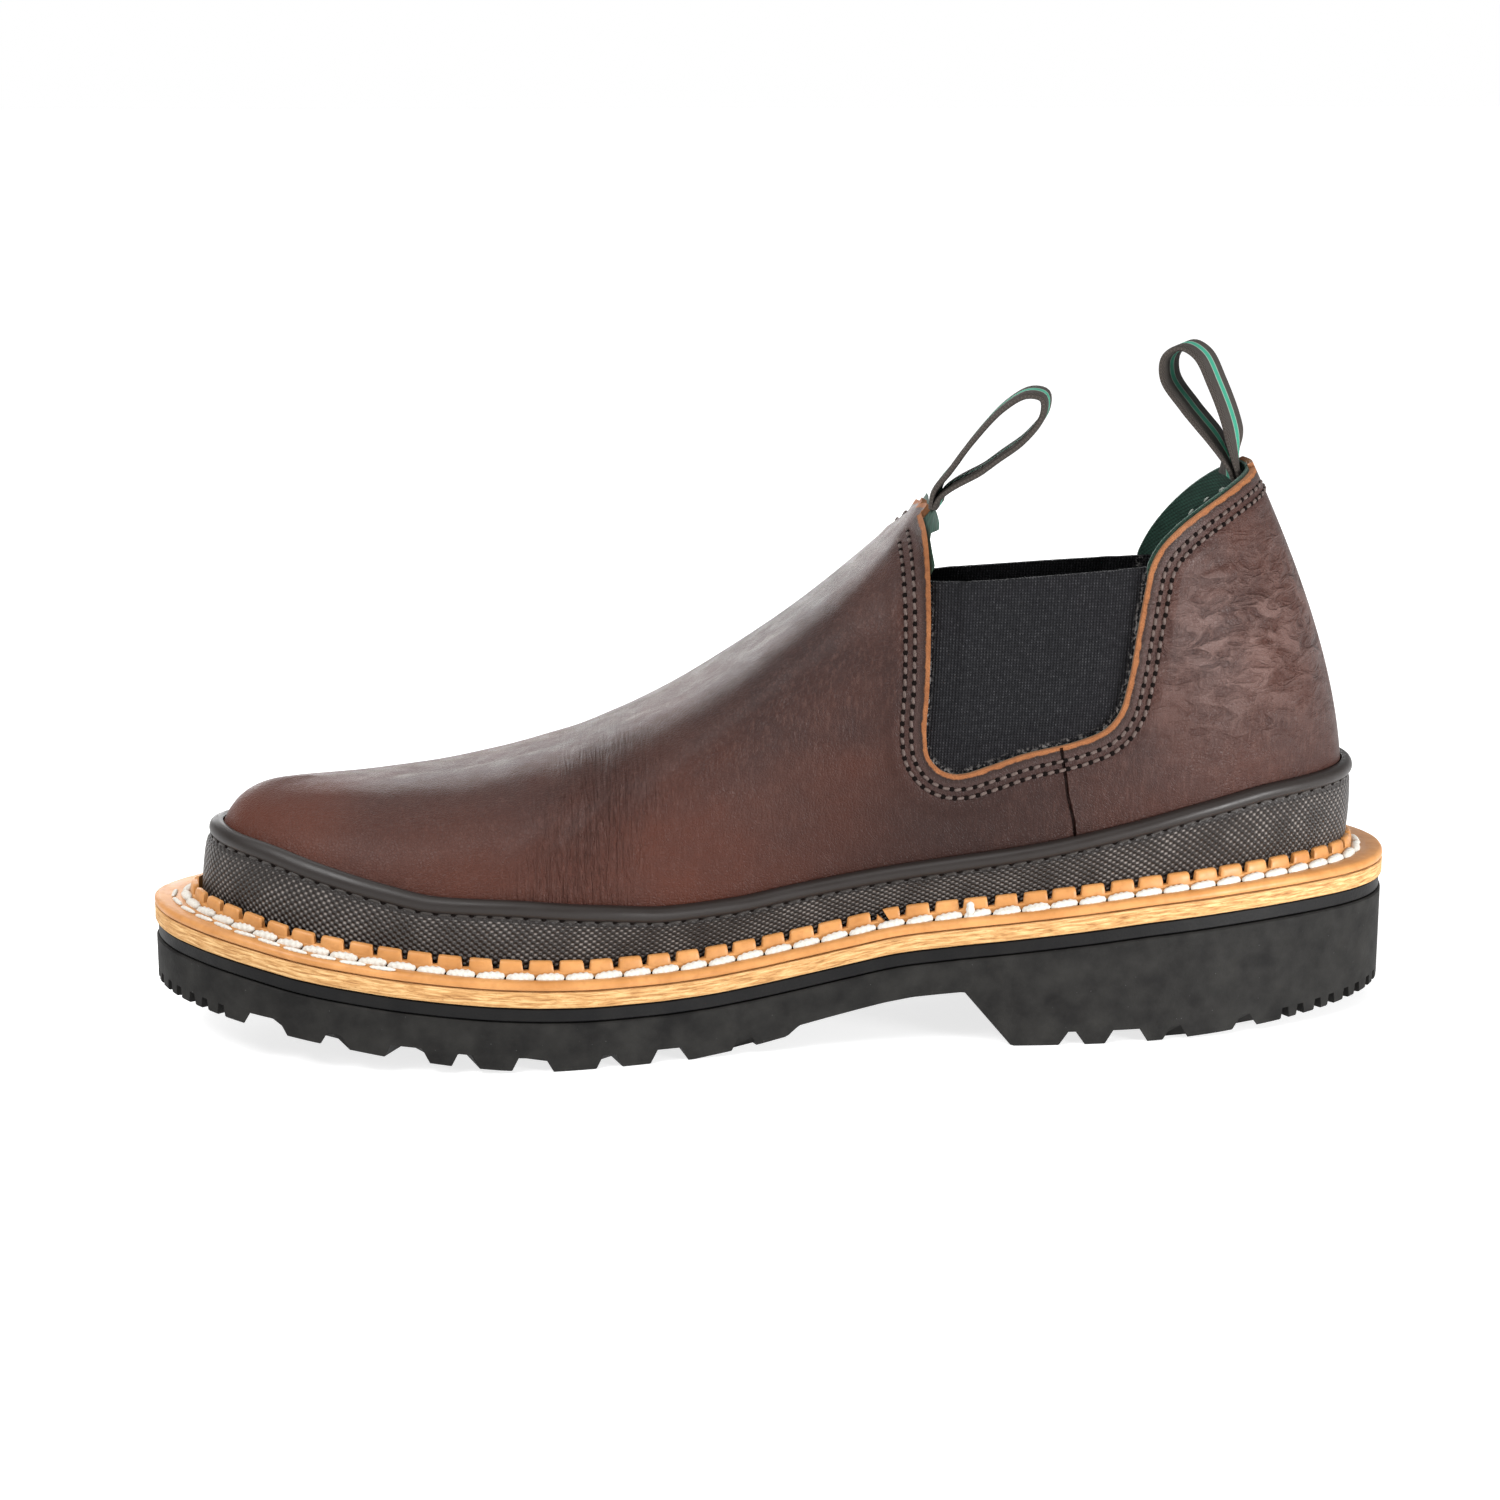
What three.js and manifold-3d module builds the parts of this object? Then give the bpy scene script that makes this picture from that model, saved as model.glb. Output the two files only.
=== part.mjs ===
// A low slip-on work boot for the right foot, with elastic gores in both sides of the collar.
// Millimetres. +X points to the toe, +Y to the shoe's left (the inner side of a right foot), +Z up.
import * as THREE from "three";
import Module from "manifold-3d";

const wasm = await Module();
wasm.setup();
const { Manifold } = wasm;

// Driving sizes
const soleLength = 312.6; // back of the heel to the tip of the toe
const ballWidth = 111; // across the sole at the ball
const collarHeight = 138.5; // ground to the top of the back tab
const wall = 2.2; // leather and lining together
const gap = 0.3; // between pieces that meet
const midsoleThickness = 4;
const layerThickness = 3.3; // rubber layer between midsole and outsole
const layerInset = 0.7;
const insoleThickness = 3;
const weltFlange = 2.6;
const weltRib = 4.9; // top of the welt's raised rib above the midsole
const randThickness = 1.9;
const beadHeight = 3.8;
const goreThickness = 1.5;
const goreMargin = 6; // how far a gore runs on behind the leather
const loopWidth = 20;
const webbing = 1.5;
const lugDepth = 3.4;

const X = (share) => share * soleLength;
const Y = (share) => share * ballWidth;
const Z = (share) => share * collarHeight;

// Smooth curve through the rows of a table, without overshoot.
function smooth(xs, ys) {
  const n = xs.length;
  const d = [];
  const m = [];
  for (let i = 0; i < n - 1; i++) d.push((ys[i + 1] - ys[i]) / (xs[i + 1] - xs[i]));
  for (let i = 0; i < n; i++) {
    if (i === 0) m.push(d[0]);
    else if (i === n - 1) m.push(d[n - 2]);
    else if (d[i - 1] * d[i] <= 0) m.push(0);
    else {
      const a = xs[i] - xs[i - 1];
      const b = xs[i + 1] - xs[i];
      m.push((3 * (a + b)) / ((2 * b + a) / d[i - 1] + (b + 2 * a) / d[i]));
    }
  }
  return (x) => {
    if (x <= xs[0]) return ys[0];
    if (x >= xs[n - 1]) return ys[n - 1];
    let i = 0;
    while (x > xs[i + 1]) i++;
    const h = xs[i + 1] - xs[i];
    const t = (x - xs[i]) / h;
    const t2 = t * t;
    const t3 = t2 * t;
    return (2 * t3 - 3 * t2 + 1) * ys[i] + (t3 - 2 * t2 + t) * h * m[i]
      + (3 * t2 - 2 * t3) * ys[i + 1] + (t3 - t2) * h * m[i + 1];
  };
}

function straight(xs, ys) {
  return (x) => {
    if (x <= xs[0]) return ys[0];
    for (let i = 1; i < xs.length; i++) {
      const run = xs[i] - xs[i - 1];
      if (x <= xs[i]) return ys[i - 1] + ((ys[i] - ys[i - 1]) * (x - xs[i - 1])) / run;
    }
    return ys[ys.length - 1];
  };
}

const column = (rows, name, scale = (v) => v) => rows.map((r) => scale(r[name]));

// Outline of the sole: half-widths either side of the axis, by share of the length.
const soleRows = [
  { at: 0, inner: -0.0595, outer: 0.0595 }, { at: 0.0026, inner: 0.0018, outer: 0.1171 },
  { at: 0.0099, inner: 0.0649, outer: 0.173 }, { at: 0.023, inner: 0.1225, outer: 0.2216 },
  { at: 0.0435, inner: 0.1766, outer: 0.2667 }, { at: 0.071, inner: 0.227, outer: 0.3027 },
  { at: 0.1062, inner: 0.2739, outer: 0.3315 }, { at: 0.1459, inner: 0.3144, outer: 0.3532 },
  { at: 0.1907, inner: 0.3459, outer: 0.3694 }, { at: 0.2482, inner: 0.364, outer: 0.382 },
  { at: 0.3122, inner: 0.3676, outer: 0.3946 }, { at: 0.3762, inner: 0.355, outer: 0.4189 },
  { at: 0.4338, inner: 0.3514, outer: 0.4486 }, { at: 0.4882, inner: 0.364, outer: 0.4793 },
  { at: 0.5393, inner: 0.3865, outer: 0.5045 }, { at: 0.5905, inner: 0.418, outer: 0.5207 },
  { at: 0.6417, inner: 0.4523, outer: 0.5243 }, { at: 0.6865, inner: 0.4721, outer: 0.5171 },
  { at: 0.7313, inner: 0.4775, outer: 0.4991 }, { at: 0.7761, inner: 0.4721, outer: 0.4685 },
  { at: 0.8241, inner: 0.4577, outer: 0.4234 }, { at: 0.8688, inner: 0.4306, outer: 0.364 },
  { at: 0.9072, inner: 0.3856, outer: 0.2955 }, { at: 0.9392, inner: 0.3279, outer: 0.2216 },
  { at: 0.9648, inner: 0.2631, outer: 0.1477 }, { at: 0.984, inner: 0.1946, outer: 0.0739 },
  { at: 0.9962, inner: 0.1171, outer: 0.0018 }, { at: 1, inner: 0.045, outer: -0.045 },
];
// How far the foot of the upper stands in from the edge of the sole.
const ledgeRows = [
  { at: 0, in: 13 }, { at: 0.06, in: 11.2 }, { at: 0.15, in: 9.6 }, { at: 0.36, in: 9.2 },
  { at: 0.5, in: 9.4 }, { at: 0.7, in: 9.4 }, { at: 0.88, in: 11.2 }, { at: 1, in: 13.8 },
];
const ledge = smooth(column(ledgeRows, "at", X), column(ledgeRows, "in"));

// Heights over the length: underside of the midsole, and the tread.
const seatRows = [
  { at: 0.0019, z: 0.2339 }, { at: 0.0659, z: 0.2339 }, { at: 0.1363, z: 0.2303 }, { at: 0.1811, z: 0.2253 },
  { at: 0.2194, z: 0.2195 }, { at: 0.2578, z: 0.2108 }, { at: 0.2994, z: 0.2014 }, { at: 0.3378, z: 0.1921 },
  { at: 0.3762, z: 0.1827 }, { at: 0.4146, z: 0.1726 }, { at: 0.453, z: 0.156 }, { at: 0.4946, z: 0.1386 },
  { at: 0.5329, z: 0.1249 }, { at: 0.5713, z: 0.1155 }, { at: 0.6097, z: 0.1119 }, { at: 0.6481, z: 0.1119 },
  { at: 0.6865, z: 0.1148 }, { at: 0.7249, z: 0.1199 }, { at: 0.7633, z: 0.1278 }, { at: 0.8017, z: 0.1379 },
  { at: 0.8401, z: 0.1502 }, { at: 0.8784, z: 0.1632 }, { at: 0.9168, z: 0.1783 }, { at: 0.9584, z: 0.1906 },
  { at: 1, z: 0.2007 },
];
const treadRows = [
  { at: 0.0019, z: 0.0361 }, { at: 0.0275, z: 0.0303 }, { at: 0.0659, z: 0.0217 }, { at: 0.1107, z: 0.013 },
  { at: 0.1619, z: 0.0058 }, { at: 0.2067, z: 0.0014 }, { at: 0.2322, z: 0 }, { at: 0.3279, z: 0 },
  { at: 0.365, z: 0.0989 }, { at: 0.3826, z: 0.0953 }, { at: 0.405, z: 0.0903 }, { at: 0.4274, z: 0.0809 },
  { at: 0.4594, z: 0.0643 }, { at: 0.4946, z: 0.0462 }, { at: 0.5042, z: 0.0274 }, { at: 0.5234, z: 0.0181 },
  { at: 0.5457, z: 0.0094 }, { at: 0.5777, z: 0 }, { at: 0.6865, z: 0 }, { at: 0.7249, z: 0.0058 },
  { at: 0.7633, z: 0.0152 }, { at: 0.8145, z: 0.0318 }, { at: 0.856, z: 0.0484 }, { at: 0.9168, z: 0.0693 },
  { at: 0.9552, z: 0.0809 }, { at: 1, z: 0.0924 },
];
const seat = smooth(column(seatRows, "at", X), column(seatRows, "z", Z));
const tread = straight(column(treadRows, "at", X), column(treadRows, "z", Z));
const footing = (x) => seat(x) + midsoleThickness;

// The outline as one closed ring, from the back of the heel over the inner side to the toe and back.
const tip = soleRows.length - 1;
const ringPoints = [
  ...soleRows.map((r) => new THREE.Vector3(X(r.at), Y(r.inner), 0)),
  ...soleRows.slice(1, tip).reverse().map((r) => new THREE.Vector3(X(r.at), -Y(r.outer), 0)),
];
const ringCurve = new THREE.CatmullRomCurve3(ringPoints, true, "centripetal");
ringCurve.arcLengthDivisions = 900;
const RING = 720;
const soleRing = ringCurve.getSpacedPoints(RING).slice(0, RING);
const outward = soleRing.map((p, i) => {
  const a = soleRing[(i + RING - 2) % RING];
  const b = soleRing[(i + 2) % RING];
  return new THREE.Vector3(a.y - b.y, b.x - a.x, 0).normalize();
});

// That ring drawn in by a distance, split into its two sides, each from heel to toe.
function drawnIn(distance) {
  const pts = soleRing.map((p, i) => {
    const d = typeof distance === "function" ? distance(p.x) : distance;
    return p.clone().addScaledVector(outward[i], -d);
  });
  let back = 0;
  let front = 0;
  pts.forEach((p, i) => {
    if (p.x < pts[back].x) back = i;
    if (p.x > pts[front].x) front = i;
  });
  const walk = (from, to, step) => {
    const out = [];
    for (let i = from; ; i = (i + step + RING) % RING) {
      out.push({ p: pts[i], n: outward[i] });
      if (i === to) return out;
    }
  };
  return { inner: walk(back, front, 1), outer: walk(back, front, -1) };
}

// Half-widths of a drawn-in ring at any x.
function widthsOf(distance) {
  const sides = drawnIn(distance);
  const fn = (side) => {
    const xs = [];
    const ys = [];
    for (const { p } of side) {
      if (!xs.length || p.x > xs[xs.length - 1] + 1e-6) {
        xs.push(p.x);
        ys.push(p.y);
      }
    }
    return { at: straight(xs, ys), first: xs[0], last: xs[xs.length - 1] };
  };
  const a = fn(sides.inner);
  const b = fn(sides.outer);
  return { inner: a.at, outer: b.at, first: a.first, last: a.last };
}

function geometryOf(positions, indices) {
  const g = new THREE.BufferGeometry();
  g.setAttribute("position", new THREE.Float32BufferAttribute(positions, 3));
  g.setIndex(indices);
  g.computeVertexNormals();
  return g;
}

function toSolid(geometry) {
  const solid = new Manifold(new wasm.Mesh({
    numProp: 3,
    vertProperties: new Float32Array(geometry.attributes.position.array),
    triVerts: new Uint32Array(geometry.index.array),
  }));
  return solid.volume() < 0 ? flipped(geometry) : solid;
}

function flipped(geometry) {
  const idx = Array.from(geometry.index.array);
  for (let i = 0; i < idx.length; i += 3) [idx[i], idx[i + 1]] = [idx[i + 1], idx[i]];
  return new Manifold(new wasm.Mesh({
    numProp: 3,
    vertProperties: new Float32Array(geometry.attributes.position.array),
    triVerts: new Uint32Array(idx),
  }));
}

function fromSolid(solid) {
  const mesh = solid.getMesh();
  const positions = [];
  for (let i = 0; i < mesh.vertProperties.length; i += mesh.numProp) {
    positions.push(mesh.vertProperties[i], mesh.vertProperties[i + 1], mesh.vertProperties[i + 2]);
  }
  const g = new THREE.BufferGeometry();
  g.setAttribute("position", new THREE.Float32BufferAttribute(positions, 3));
  g.setIndex(Array.from(mesh.triVerts));
  g.computeVertexNormals();
  return g;
}

// Stations along a layer: close together at both ends, with extra ones where the height breaks.
function stations(first, last, count, extra = []) {
  const xs = [];
  for (let i = 0; i <= count; i++) {
    xs.push(first + ((last - first) * (1 - Math.cos((Math.PI * i) / count))) / 2);
  }
  for (const e of extra) {
    if (e > first + 1 && e < last - 1) {
      const near = xs.findIndex((v) => Math.abs(v - e) < 1.2);
      if (near > 0 && near < xs.length - 1) xs[near] = e;
      else xs.push(e);
    }
  }
  return xs.sort((a, b) => a - b);
}

// A flat layer: the outline at each station, with a top and an underside that follow the length.
function layer(distance, top, under, count, extra = []) {
  const w = widthsOf(distance);
  const xs = stations(w.first, w.last, count, extra);
  const pos = [];
  const idx = [];
  const n = xs.length;
  xs.forEach((x, i) => {
    const end = i === 0 || i === n - 1;
    const a = w.inner(x);
    const b = end ? a : w.outer(x);
    pos.push(x, a, top(x), x, b, top(x), x, a, under(x), x, b, under(x));
  });
  const quad = (a, b, c, d) => idx.push(a, b, c, a, c, d);
  for (let i = 0; i < n - 1; i++) {
    const p = 4 * i;
    const q = p + 4;
    const at0 = i === 0;
    const at1 = i === n - 2;
    const [pa, pb, pc, pd] = [p, at0 ? p : p + 1, p + 2, at0 ? p + 2 : p + 3];
    const [qa, qb, qc, qd] = [q, at1 ? q : q + 1, q + 2, at1 ? q + 2 : q + 3];
    const faces = [[pa, pb, qb, qa], [pc, qc, qd, pd], [pa, qa, qc, pc], [pb, pd, qd, qb]];
    for (const [a, b, c, d] of faces) {
      if (a !== b && b !== c && a !== c) idx.push(a, b, c);
      if (a !== c && c !== d && a !== d) idx.push(a, c, d);
    }
  }
  return toSolid(geometryOf(pos, idx));
}

// Outsole: one body with the heel, then gaps cut between the lugs.
const outsoleTop = (x) => seat(x) - layerThickness - 2 * gap;
const breaks = treadRows.map((r) => X(r.at));
let outsole = layer(0.2, outsoleTop, tread, 54, breaks);
const bottomWidths = widthsOf(0);
function cutBetween(x, side, mouth, root, length, lean) {
  const w = side > 0 ? bottomWidths.inner(x) : bottomWidths.outer(x);
  const pts = [];
  for (const [half, dz] of [[mouth / 2 + 1, -2], [root / 2, lugDepth]]) {
    for (const s of [-1, 1]) {
      const z = tread(x + s * (mouth / 2)) * 0.5 + tread(x) * 0.5 + dz;
      pts.push([x + s * half - lean * 0.12, w + side * 4, z]);
      pts.push([x + s * half + lean, w - side * length, z]);
    }
  }
  return Manifold.hull(pts);
}
// Gaps between lugs along each side: place, mouth and root as shares of the length.
const gapRows = [
  { at: 0.905, mouth: 0.0301, root: 0.0198, length: 0.2342 },
  { at: 0.849, mouth: 0.0218, root: 0.0096, length: 0.1351 },
  { at: 0.7969, mouth: 0.0339, root: 0.023, length: 0.2703 },
  { at: 0.7505, mouth: 0.0218, root: 0.0109, length: 0.1532 },
  { at: 0.7015, mouth: 0.0326, root: 0.0211, length: 0.2883 },
  { at: 0.6411, mouth: 0.0224, root: 0.0102, length: 0.1622 },
  { at: 0.5963, mouth: 0.032, root: 0.0192, length: 0.2883 },
  { at: 0.5355, mouth: 0.0211, root: 0.0096, length: 0.1441 },
  { at: 0.2802, mouth: 0.0237, root: 0.0058, length: 0.1532 },
  { at: 0.2367, mouth: 0.0365, root: 0.0211, length: 0.2342 },
  { at: 0.1967, mouth: 0.0218, root: 0.0083, length: 0.1351 },
  { at: 0.1379, mouth: 0.0237, root: 0.0077, length: 0.1532 },
];
const cuts = [];
for (const g of gapRows) {
  for (const side of [1, -1]) {
    cuts.push(cutBetween(X(g.at), side, X(g.mouth), X(g.root), Y(g.length), g.at > 0.5 ? X(0.02) : 0));
  }
}
// Short gaps across the rounded edge at the toe and at the back of the heel.
function cutAround(i, mouth, root, length) {
  const p = soleRing[i];
  const n = outward[i];
  const t = new THREE.Vector3(-n.y, n.x, 0);
  const pts = [];
  for (const [half, dz] of [[mouth / 2, -2], [root / 2, lugDepth * 0.85]]) {
    for (const s of [-1, 1]) {
      for (const along of [3, -length]) {
        const v = p.clone().addScaledVector(n, along).addScaledVector(t, s * half);
        pts.push([v.x, v.y, tread(v.x) + dz]);
      }
    }
  }
  return Manifold.hull(pts);
}
soleRing.forEach((p, i) => {
  const prev = soleRing[(i + RING - 1) % RING];
  const arc = i / RING;
  const toeSpan = p.x > X(0.938);
  const heelSpan = p.x < X(0.116);
  const beat = Math.floor(arc * 138) !== Math.floor(((i - 1) / RING) * 138);
  if (beat && (toeSpan || heelSpan) && prev) cuts.push(cutAround(i, 3.2, 1.8, 9));
});
outsole = outsole.subtract(Manifold.union(cuts));

const rubberLayer = layer(layerInset, (x) => seat(x) - gap, (x) => seat(x) - gap - layerThickness, 40);
const midsole = layer(0, footing, seat, 44);

// Welt: a flange with a raised rib along its inner edge.
function band(distances, heights, count) {
  const rings = distances.map((d) => soleRing.map((p, i) => {
    const v = typeof d === "function" ? d(p.x) : d;
    return p.clone().addScaledVector(outward[i], -v);
  }));
  const pos = [];
  const idx = [];
  const m = distances.length;
  for (let j = 0; j < count; j++) {
    const i = Math.round((j * RING) / count) % RING;
    for (let k = 0; k < m; k++) {
      const p = rings[k][i];
      pos.push(p.x, p.y, footing(p.x) + heights[k]);
    }
  }
  for (let j = 0; j < count; j++) {
    for (let k = 0; k < m; k++) {
      const a = j * m + k;
      const b = j * m + ((k + 1) % m);
      const c = ((j + 1) % count) * m + ((k + 1) % m);
      const d = ((j + 1) % count) * m + k;
      idx.push(a, b, c, a, c, d);
    }
  }
  return toSolid(geometryOf(pos, idx));
}
const clear = gap + randThickness + gap;
const weltIn = (x) => ledge(x) - clear - 0.8;
const welt = band(
  [0.3, 0, 0.5, 3.9, 4.8, (x) => weltIn(x) - 0.7, weltIn, weltIn],
  [gap, weltFlange - 0.9, weltFlange, weltFlange - 0.1, weltFlange + 0.9, weltRib, weltRib, gap],
  76,
);

// The upper as ribs: each rib is a Bezier arc from the foot of the upper to the collar or the ridge.
// k is the share of the way from the back of the heel to the toe, the same on both sides.
const ribRows = [
  { k: 0, x: 0.1248, y: 0, z: 1, turn: 0, up: 0.224, out: 0.061, over: 0.133, drop: 0.217 },
  { k: 0.05, x: 0.1273, y: 0.0586, z: 1, turn: 24, up: 0.224, out: 0.059, over: 0.133, drop: 0.217 },
  { k: 0.1, x: 0.1363, y: 0.1171, z: 0.9978, turn: 46, up: 0.224, out: 0.054, over: 0.123, drop: 0.22 },
  { k: 0.17, x: 0.1683, y: 0.2018, z: 0.9856, turn: 68, up: 0.231, out: 0.045, over: 0.081, drop: 0.238 },
  { k: 0.24, x: 0.2131, y: 0.2523, z: 0.9711, turn: 84, up: 0.238, out: 0.041, over: 0.045, drop: 0.253 },
  { k: 0.31, x: 0.2674, y: 0.2703, z: 0.9603, turn: 95, up: 0.253, out: 0.038, over: 0.041, drop: 0.253 },
  { k: 0.37, x: 0.3186, y: 0.2595, z: 0.9531, turn: 104, up: 0.282, out: 0.038, over: 0.068, drop: 0.224 },
  { k: 0.415, x: 0.357, y: 0.2216, z: 0.9444, turn: 106, up: 0.318, out: 0.04, over: 0.113, drop: 0.173 },
  { k: 0.455, x: 0.3813, y: 0.1405, z: 0.9357, turn: 103, up: 0.361, out: 0.041, over: 0.18, drop: 0.094 },
  { k: 0.5, x: 0.389, y: 0, z: 0.9242, turn: 99, up: 0.375, out: 0.045, over: 0.252, drop: 0.029 },
  { k: 0.56, x: 0.4319, y: 0, z: 0.8289, turn: 99, up: 0.339, out: 0.047, over: 0.266, drop: 0.029 },
  { k: 0.625, x: 0.4914, y: 0, z: 0.722, turn: 99, up: 0.289, out: 0.047, over: 0.275, drop: 0.026 },
  { k: 0.69, x: 0.5617, y: 0, z: 0.6123, turn: 100, up: 0.238, out: 0.045, over: 0.288, drop: 0.022 },
  { k: 0.735, x: 0.6161, y: 0, z: 0.5502, turn: 102, up: 0.202, out: 0.041, over: 0.297, drop: 0.017 },
  { k: 0.8, x: 0.6961, y: 0, z: 0.4874, turn: 106, up: 0.173, out: 0.036, over: 0.302, drop: 0.009 },
  { k: 0.85, x: 0.7537, y: 0, z: 0.4592, turn: 114, up: 0.159, out: 0.032, over: 0.288, drop: 0 },
  { k: 0.91, x: 0.8177, y: 0, z: 0.4462, turn: 130, up: 0.155, out: 0.02, over: 0.261, drop: -0.004 },
  { k: 0.955, x: 0.856, y: 0, z: 0.4462, turn: 153, up: 0.155, out: 0.005, over: 0.221, drop: -0.009 },
  { k: 1, x: 0.8688, y: 0, z: 0.4491, turn: 180, up: 0.155, out: -0.007, over: 0.213, drop: -0.01 },
];
// Each column of the table as a curve that carries on past both ends as its own mirror image, so the
// ribs pass smoothly through the back of the heel and the toe.
function ribColumn(name, scale, first = null, last = null) {
  const at = ribRows.map((r) => r.k);
  const v = column(ribRows, name, scale);
  const n = at.length;
  const before = [2, 1].map((i) => (first === null ? v[i] : 2 * first - v[i]));
  const after = [n - 2, n - 3].map((i) => (last === null ? v[i] : 2 * last - v[i]));
  return smooth(
    [-at[2], -at[1], ...at, 2 - at[n - 2], 2 - at[n - 3]],
    [...before, ...v, ...after],
  );
}
const ribAt = {
  x: ribColumn("x", X),
  y: ribColumn("y", Y, 0),
  z: ribColumn("z", Z),
  turn: ribColumn("turn", (v) => (v * Math.PI) / 180, 0, Math.PI),
  up: ribColumn("up", Z),
  out: ribColumn("out", Y),
  over: ribColumn("over", Y),
  drop: ribColumn("drop", Z),
};
const ridgeShift = smooth([0, 0.5, 0.62, 1], [0, 0, Y(0.022), Y(0.03)]); // the ridge runs toward the big toe
const tabK = 0.5;

const feather = drawnIn(ledge);
function featherAt(side, k) {
  const pts = side > 0 ? feather.inner : feather.outer;
  if (!pts.total) {
    pts.total = [0];
    for (let i = 1; i < pts.length; i++) pts.total.push(pts.total[i - 1] + pts[i].p.distanceTo(pts[i - 1].p));
  }
  const want = k * pts.total[pts.length - 1];
  let i = 1;
  while (i < pts.length - 1 && pts.total[i] < want) i++;
  const t = (want - pts.total[i - 1]) / (pts.total[i] - pts.total[i - 1]);
  return {
    p: pts[i - 1].p.clone().lerp(pts[i].p, t),
    n: pts[i - 1].n.clone().lerp(pts[i].n, t).normalize(),
  };
}

function ribCurve(side, k) {
  const f = featherAt(side, k);
  const p0 = f.p.clone().setZ(footing(f.p.x) + gap);
  const p1 = p0.clone().addScaledVector(f.n, ribAt.out(k)).setZ(p0.z + ribAt.up(k));
  const top = new THREE.Vector3(ribAt.x(k), side * ribAt.y(k) + ridgeShift(k), ribAt.z(k));
  const a = ribAt.turn(k);
  const wide = side > 0 ? 1 : 1 + 0.14 * Math.sin(Math.PI * Math.min(1, Math.max(0, (k - 0.45) / 0.55)));
  const over = ribAt.over(k) * wide;
  const p2 = top.clone().add(new THREE.Vector3(-Math.cos(a) * over, side * Math.sin(a) * over, -ribAt.drop(k)));
  return new THREE.CubicBezierCurve3(p0, p1, p2, top);
}

// Rings of the upper's outer face: row 0 at the foot, last row at the collar and ridge.
const ROWS = 12;
const kList = []; // closer together round the front tab and at both ends
for (const [from, to, count] of [[0, 0.12, 5], [0.12, 0.36, 7], [0.36, 0.56, 12], [0.56, 0.88, 9], [0.88, 1, 7]]) {
  for (let i = 0; i < count; i++) kList.push(from + ((to - from) * i) / count);
}
kList.push(1);
const SIDE = kList.length - 1; // stations a side
const ribsOf = (side) => kList.map((k) => ribCurve(side, k));
const innerRibs = ribsOf(1);
const outerRibs = ribsOf(-1);
// Columns round the shoe: inner side from heel to toe, then the outer side back to the heel.
const columns = [];
kList.forEach((k, i) => columns.push({ side: 1, i, curve: innerRibs[i] }));
for (let i = SIDE - 1; i > 0; i--) columns.push({ side: -1, i, curve: outerRibs[i] });
const tabIndex = kList.findIndex((k) => k > tabK - 1e-6);
const share = (j) => j / ROWS;

function faceGrid() {
  const verts = [];
  const id = columns.map(() => []);
  columns.forEach((c, ci) => {
    for (let j = 0; j <= ROWS; j++) {
      if (j === ROWS && c.side < 0 && c.i >= tabIndex) {
        id[ci].push(id[c.i][ROWS]); // both sides end on the ridge
        continue;
      }
      id[ci].push(verts.length);
      verts.push(c.curve.getPoint(share(j)));
    }
  });
  return { verts, id };
}
const grid = faceGrid();
const faces = [];
for (let c = 0; c < columns.length; c++) {
  const d = (c + 1) % columns.length;
  for (let j = 0; j < ROWS; j++) {
    const q = [grid.id[c][j], grid.id[c][j + 1], grid.id[d][j + 1], grid.id[d][j]];
    if (q[1] !== q[2]) faces.push([q[0], q[1], q[2]]);
    faces.push([q[0], q[2], q[3]]);
  }
}
const normals = grid.verts.map(() => new THREE.Vector3());
{
  const e1 = new THREE.Vector3();
  const e2 = new THREE.Vector3();
  for (const [a, b, c] of faces) {
    e1.subVectors(grid.verts[b], grid.verts[a]);
    e2.subVectors(grid.verts[c], grid.verts[a]);
    e1.cross(e2);
    for (const v of [a, b, c]) normals[v].add(e1);
  }
  for (const n of normals) n.normalize();
  // The normals must point out of the shoe.
  const probe = grid.id[Math.round(SIDE * 0.7)][6];
  if (normals[probe].y < 0) for (const n of normals) n.negate();
}
const footRow = new Set(grid.id.map((c) => c[0]));

// The face moved in by a depth; the foot row stays on the sole.
function faceAt(depth) {
  return grid.verts.map((v, i) => {
    const n = normals[i].clone();
    if (footRow.has(i)) n.setZ(0).normalize();
    return v.clone().addScaledVector(n, -depth);
  });
}

// A closed skin between two depths of the face.
function skin(outerDepth, innerDepth) {
  const a = faceAt(outerDepth);
  const b = faceAt(innerDepth);
  const count = a.length;
  const pos = [...a, ...b].flatMap((v) => [v.x, v.y, v.z]);
  const idx = [];
  for (const [p, q, r] of faces) idx.push(p, q, r, p + count, r + count, q + count);
  const rim = (loop, flip) => {
    for (let i = 0; i < loop.length; i++) {
      const p = loop[i];
      const q = loop[(i + 1) % loop.length];
      if (flip) idx.push(p, q, q + count, p, q + count, p + count);
      else idx.push(q, p, p + count, q, p + count, q + count);
    }
  };
  rim(grid.id.map((c) => c[0]), true);
  const collar = [];
  columns.forEach((c, ci) => {
    if (c.i <= tabIndex && (c.side > 0 || c.i < tabIndex)) collar.push(grid.id[ci][ROWS]);
  });
  rim(collar, false);
  return toSolid(geometryOf(pos, idx));
}

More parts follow.
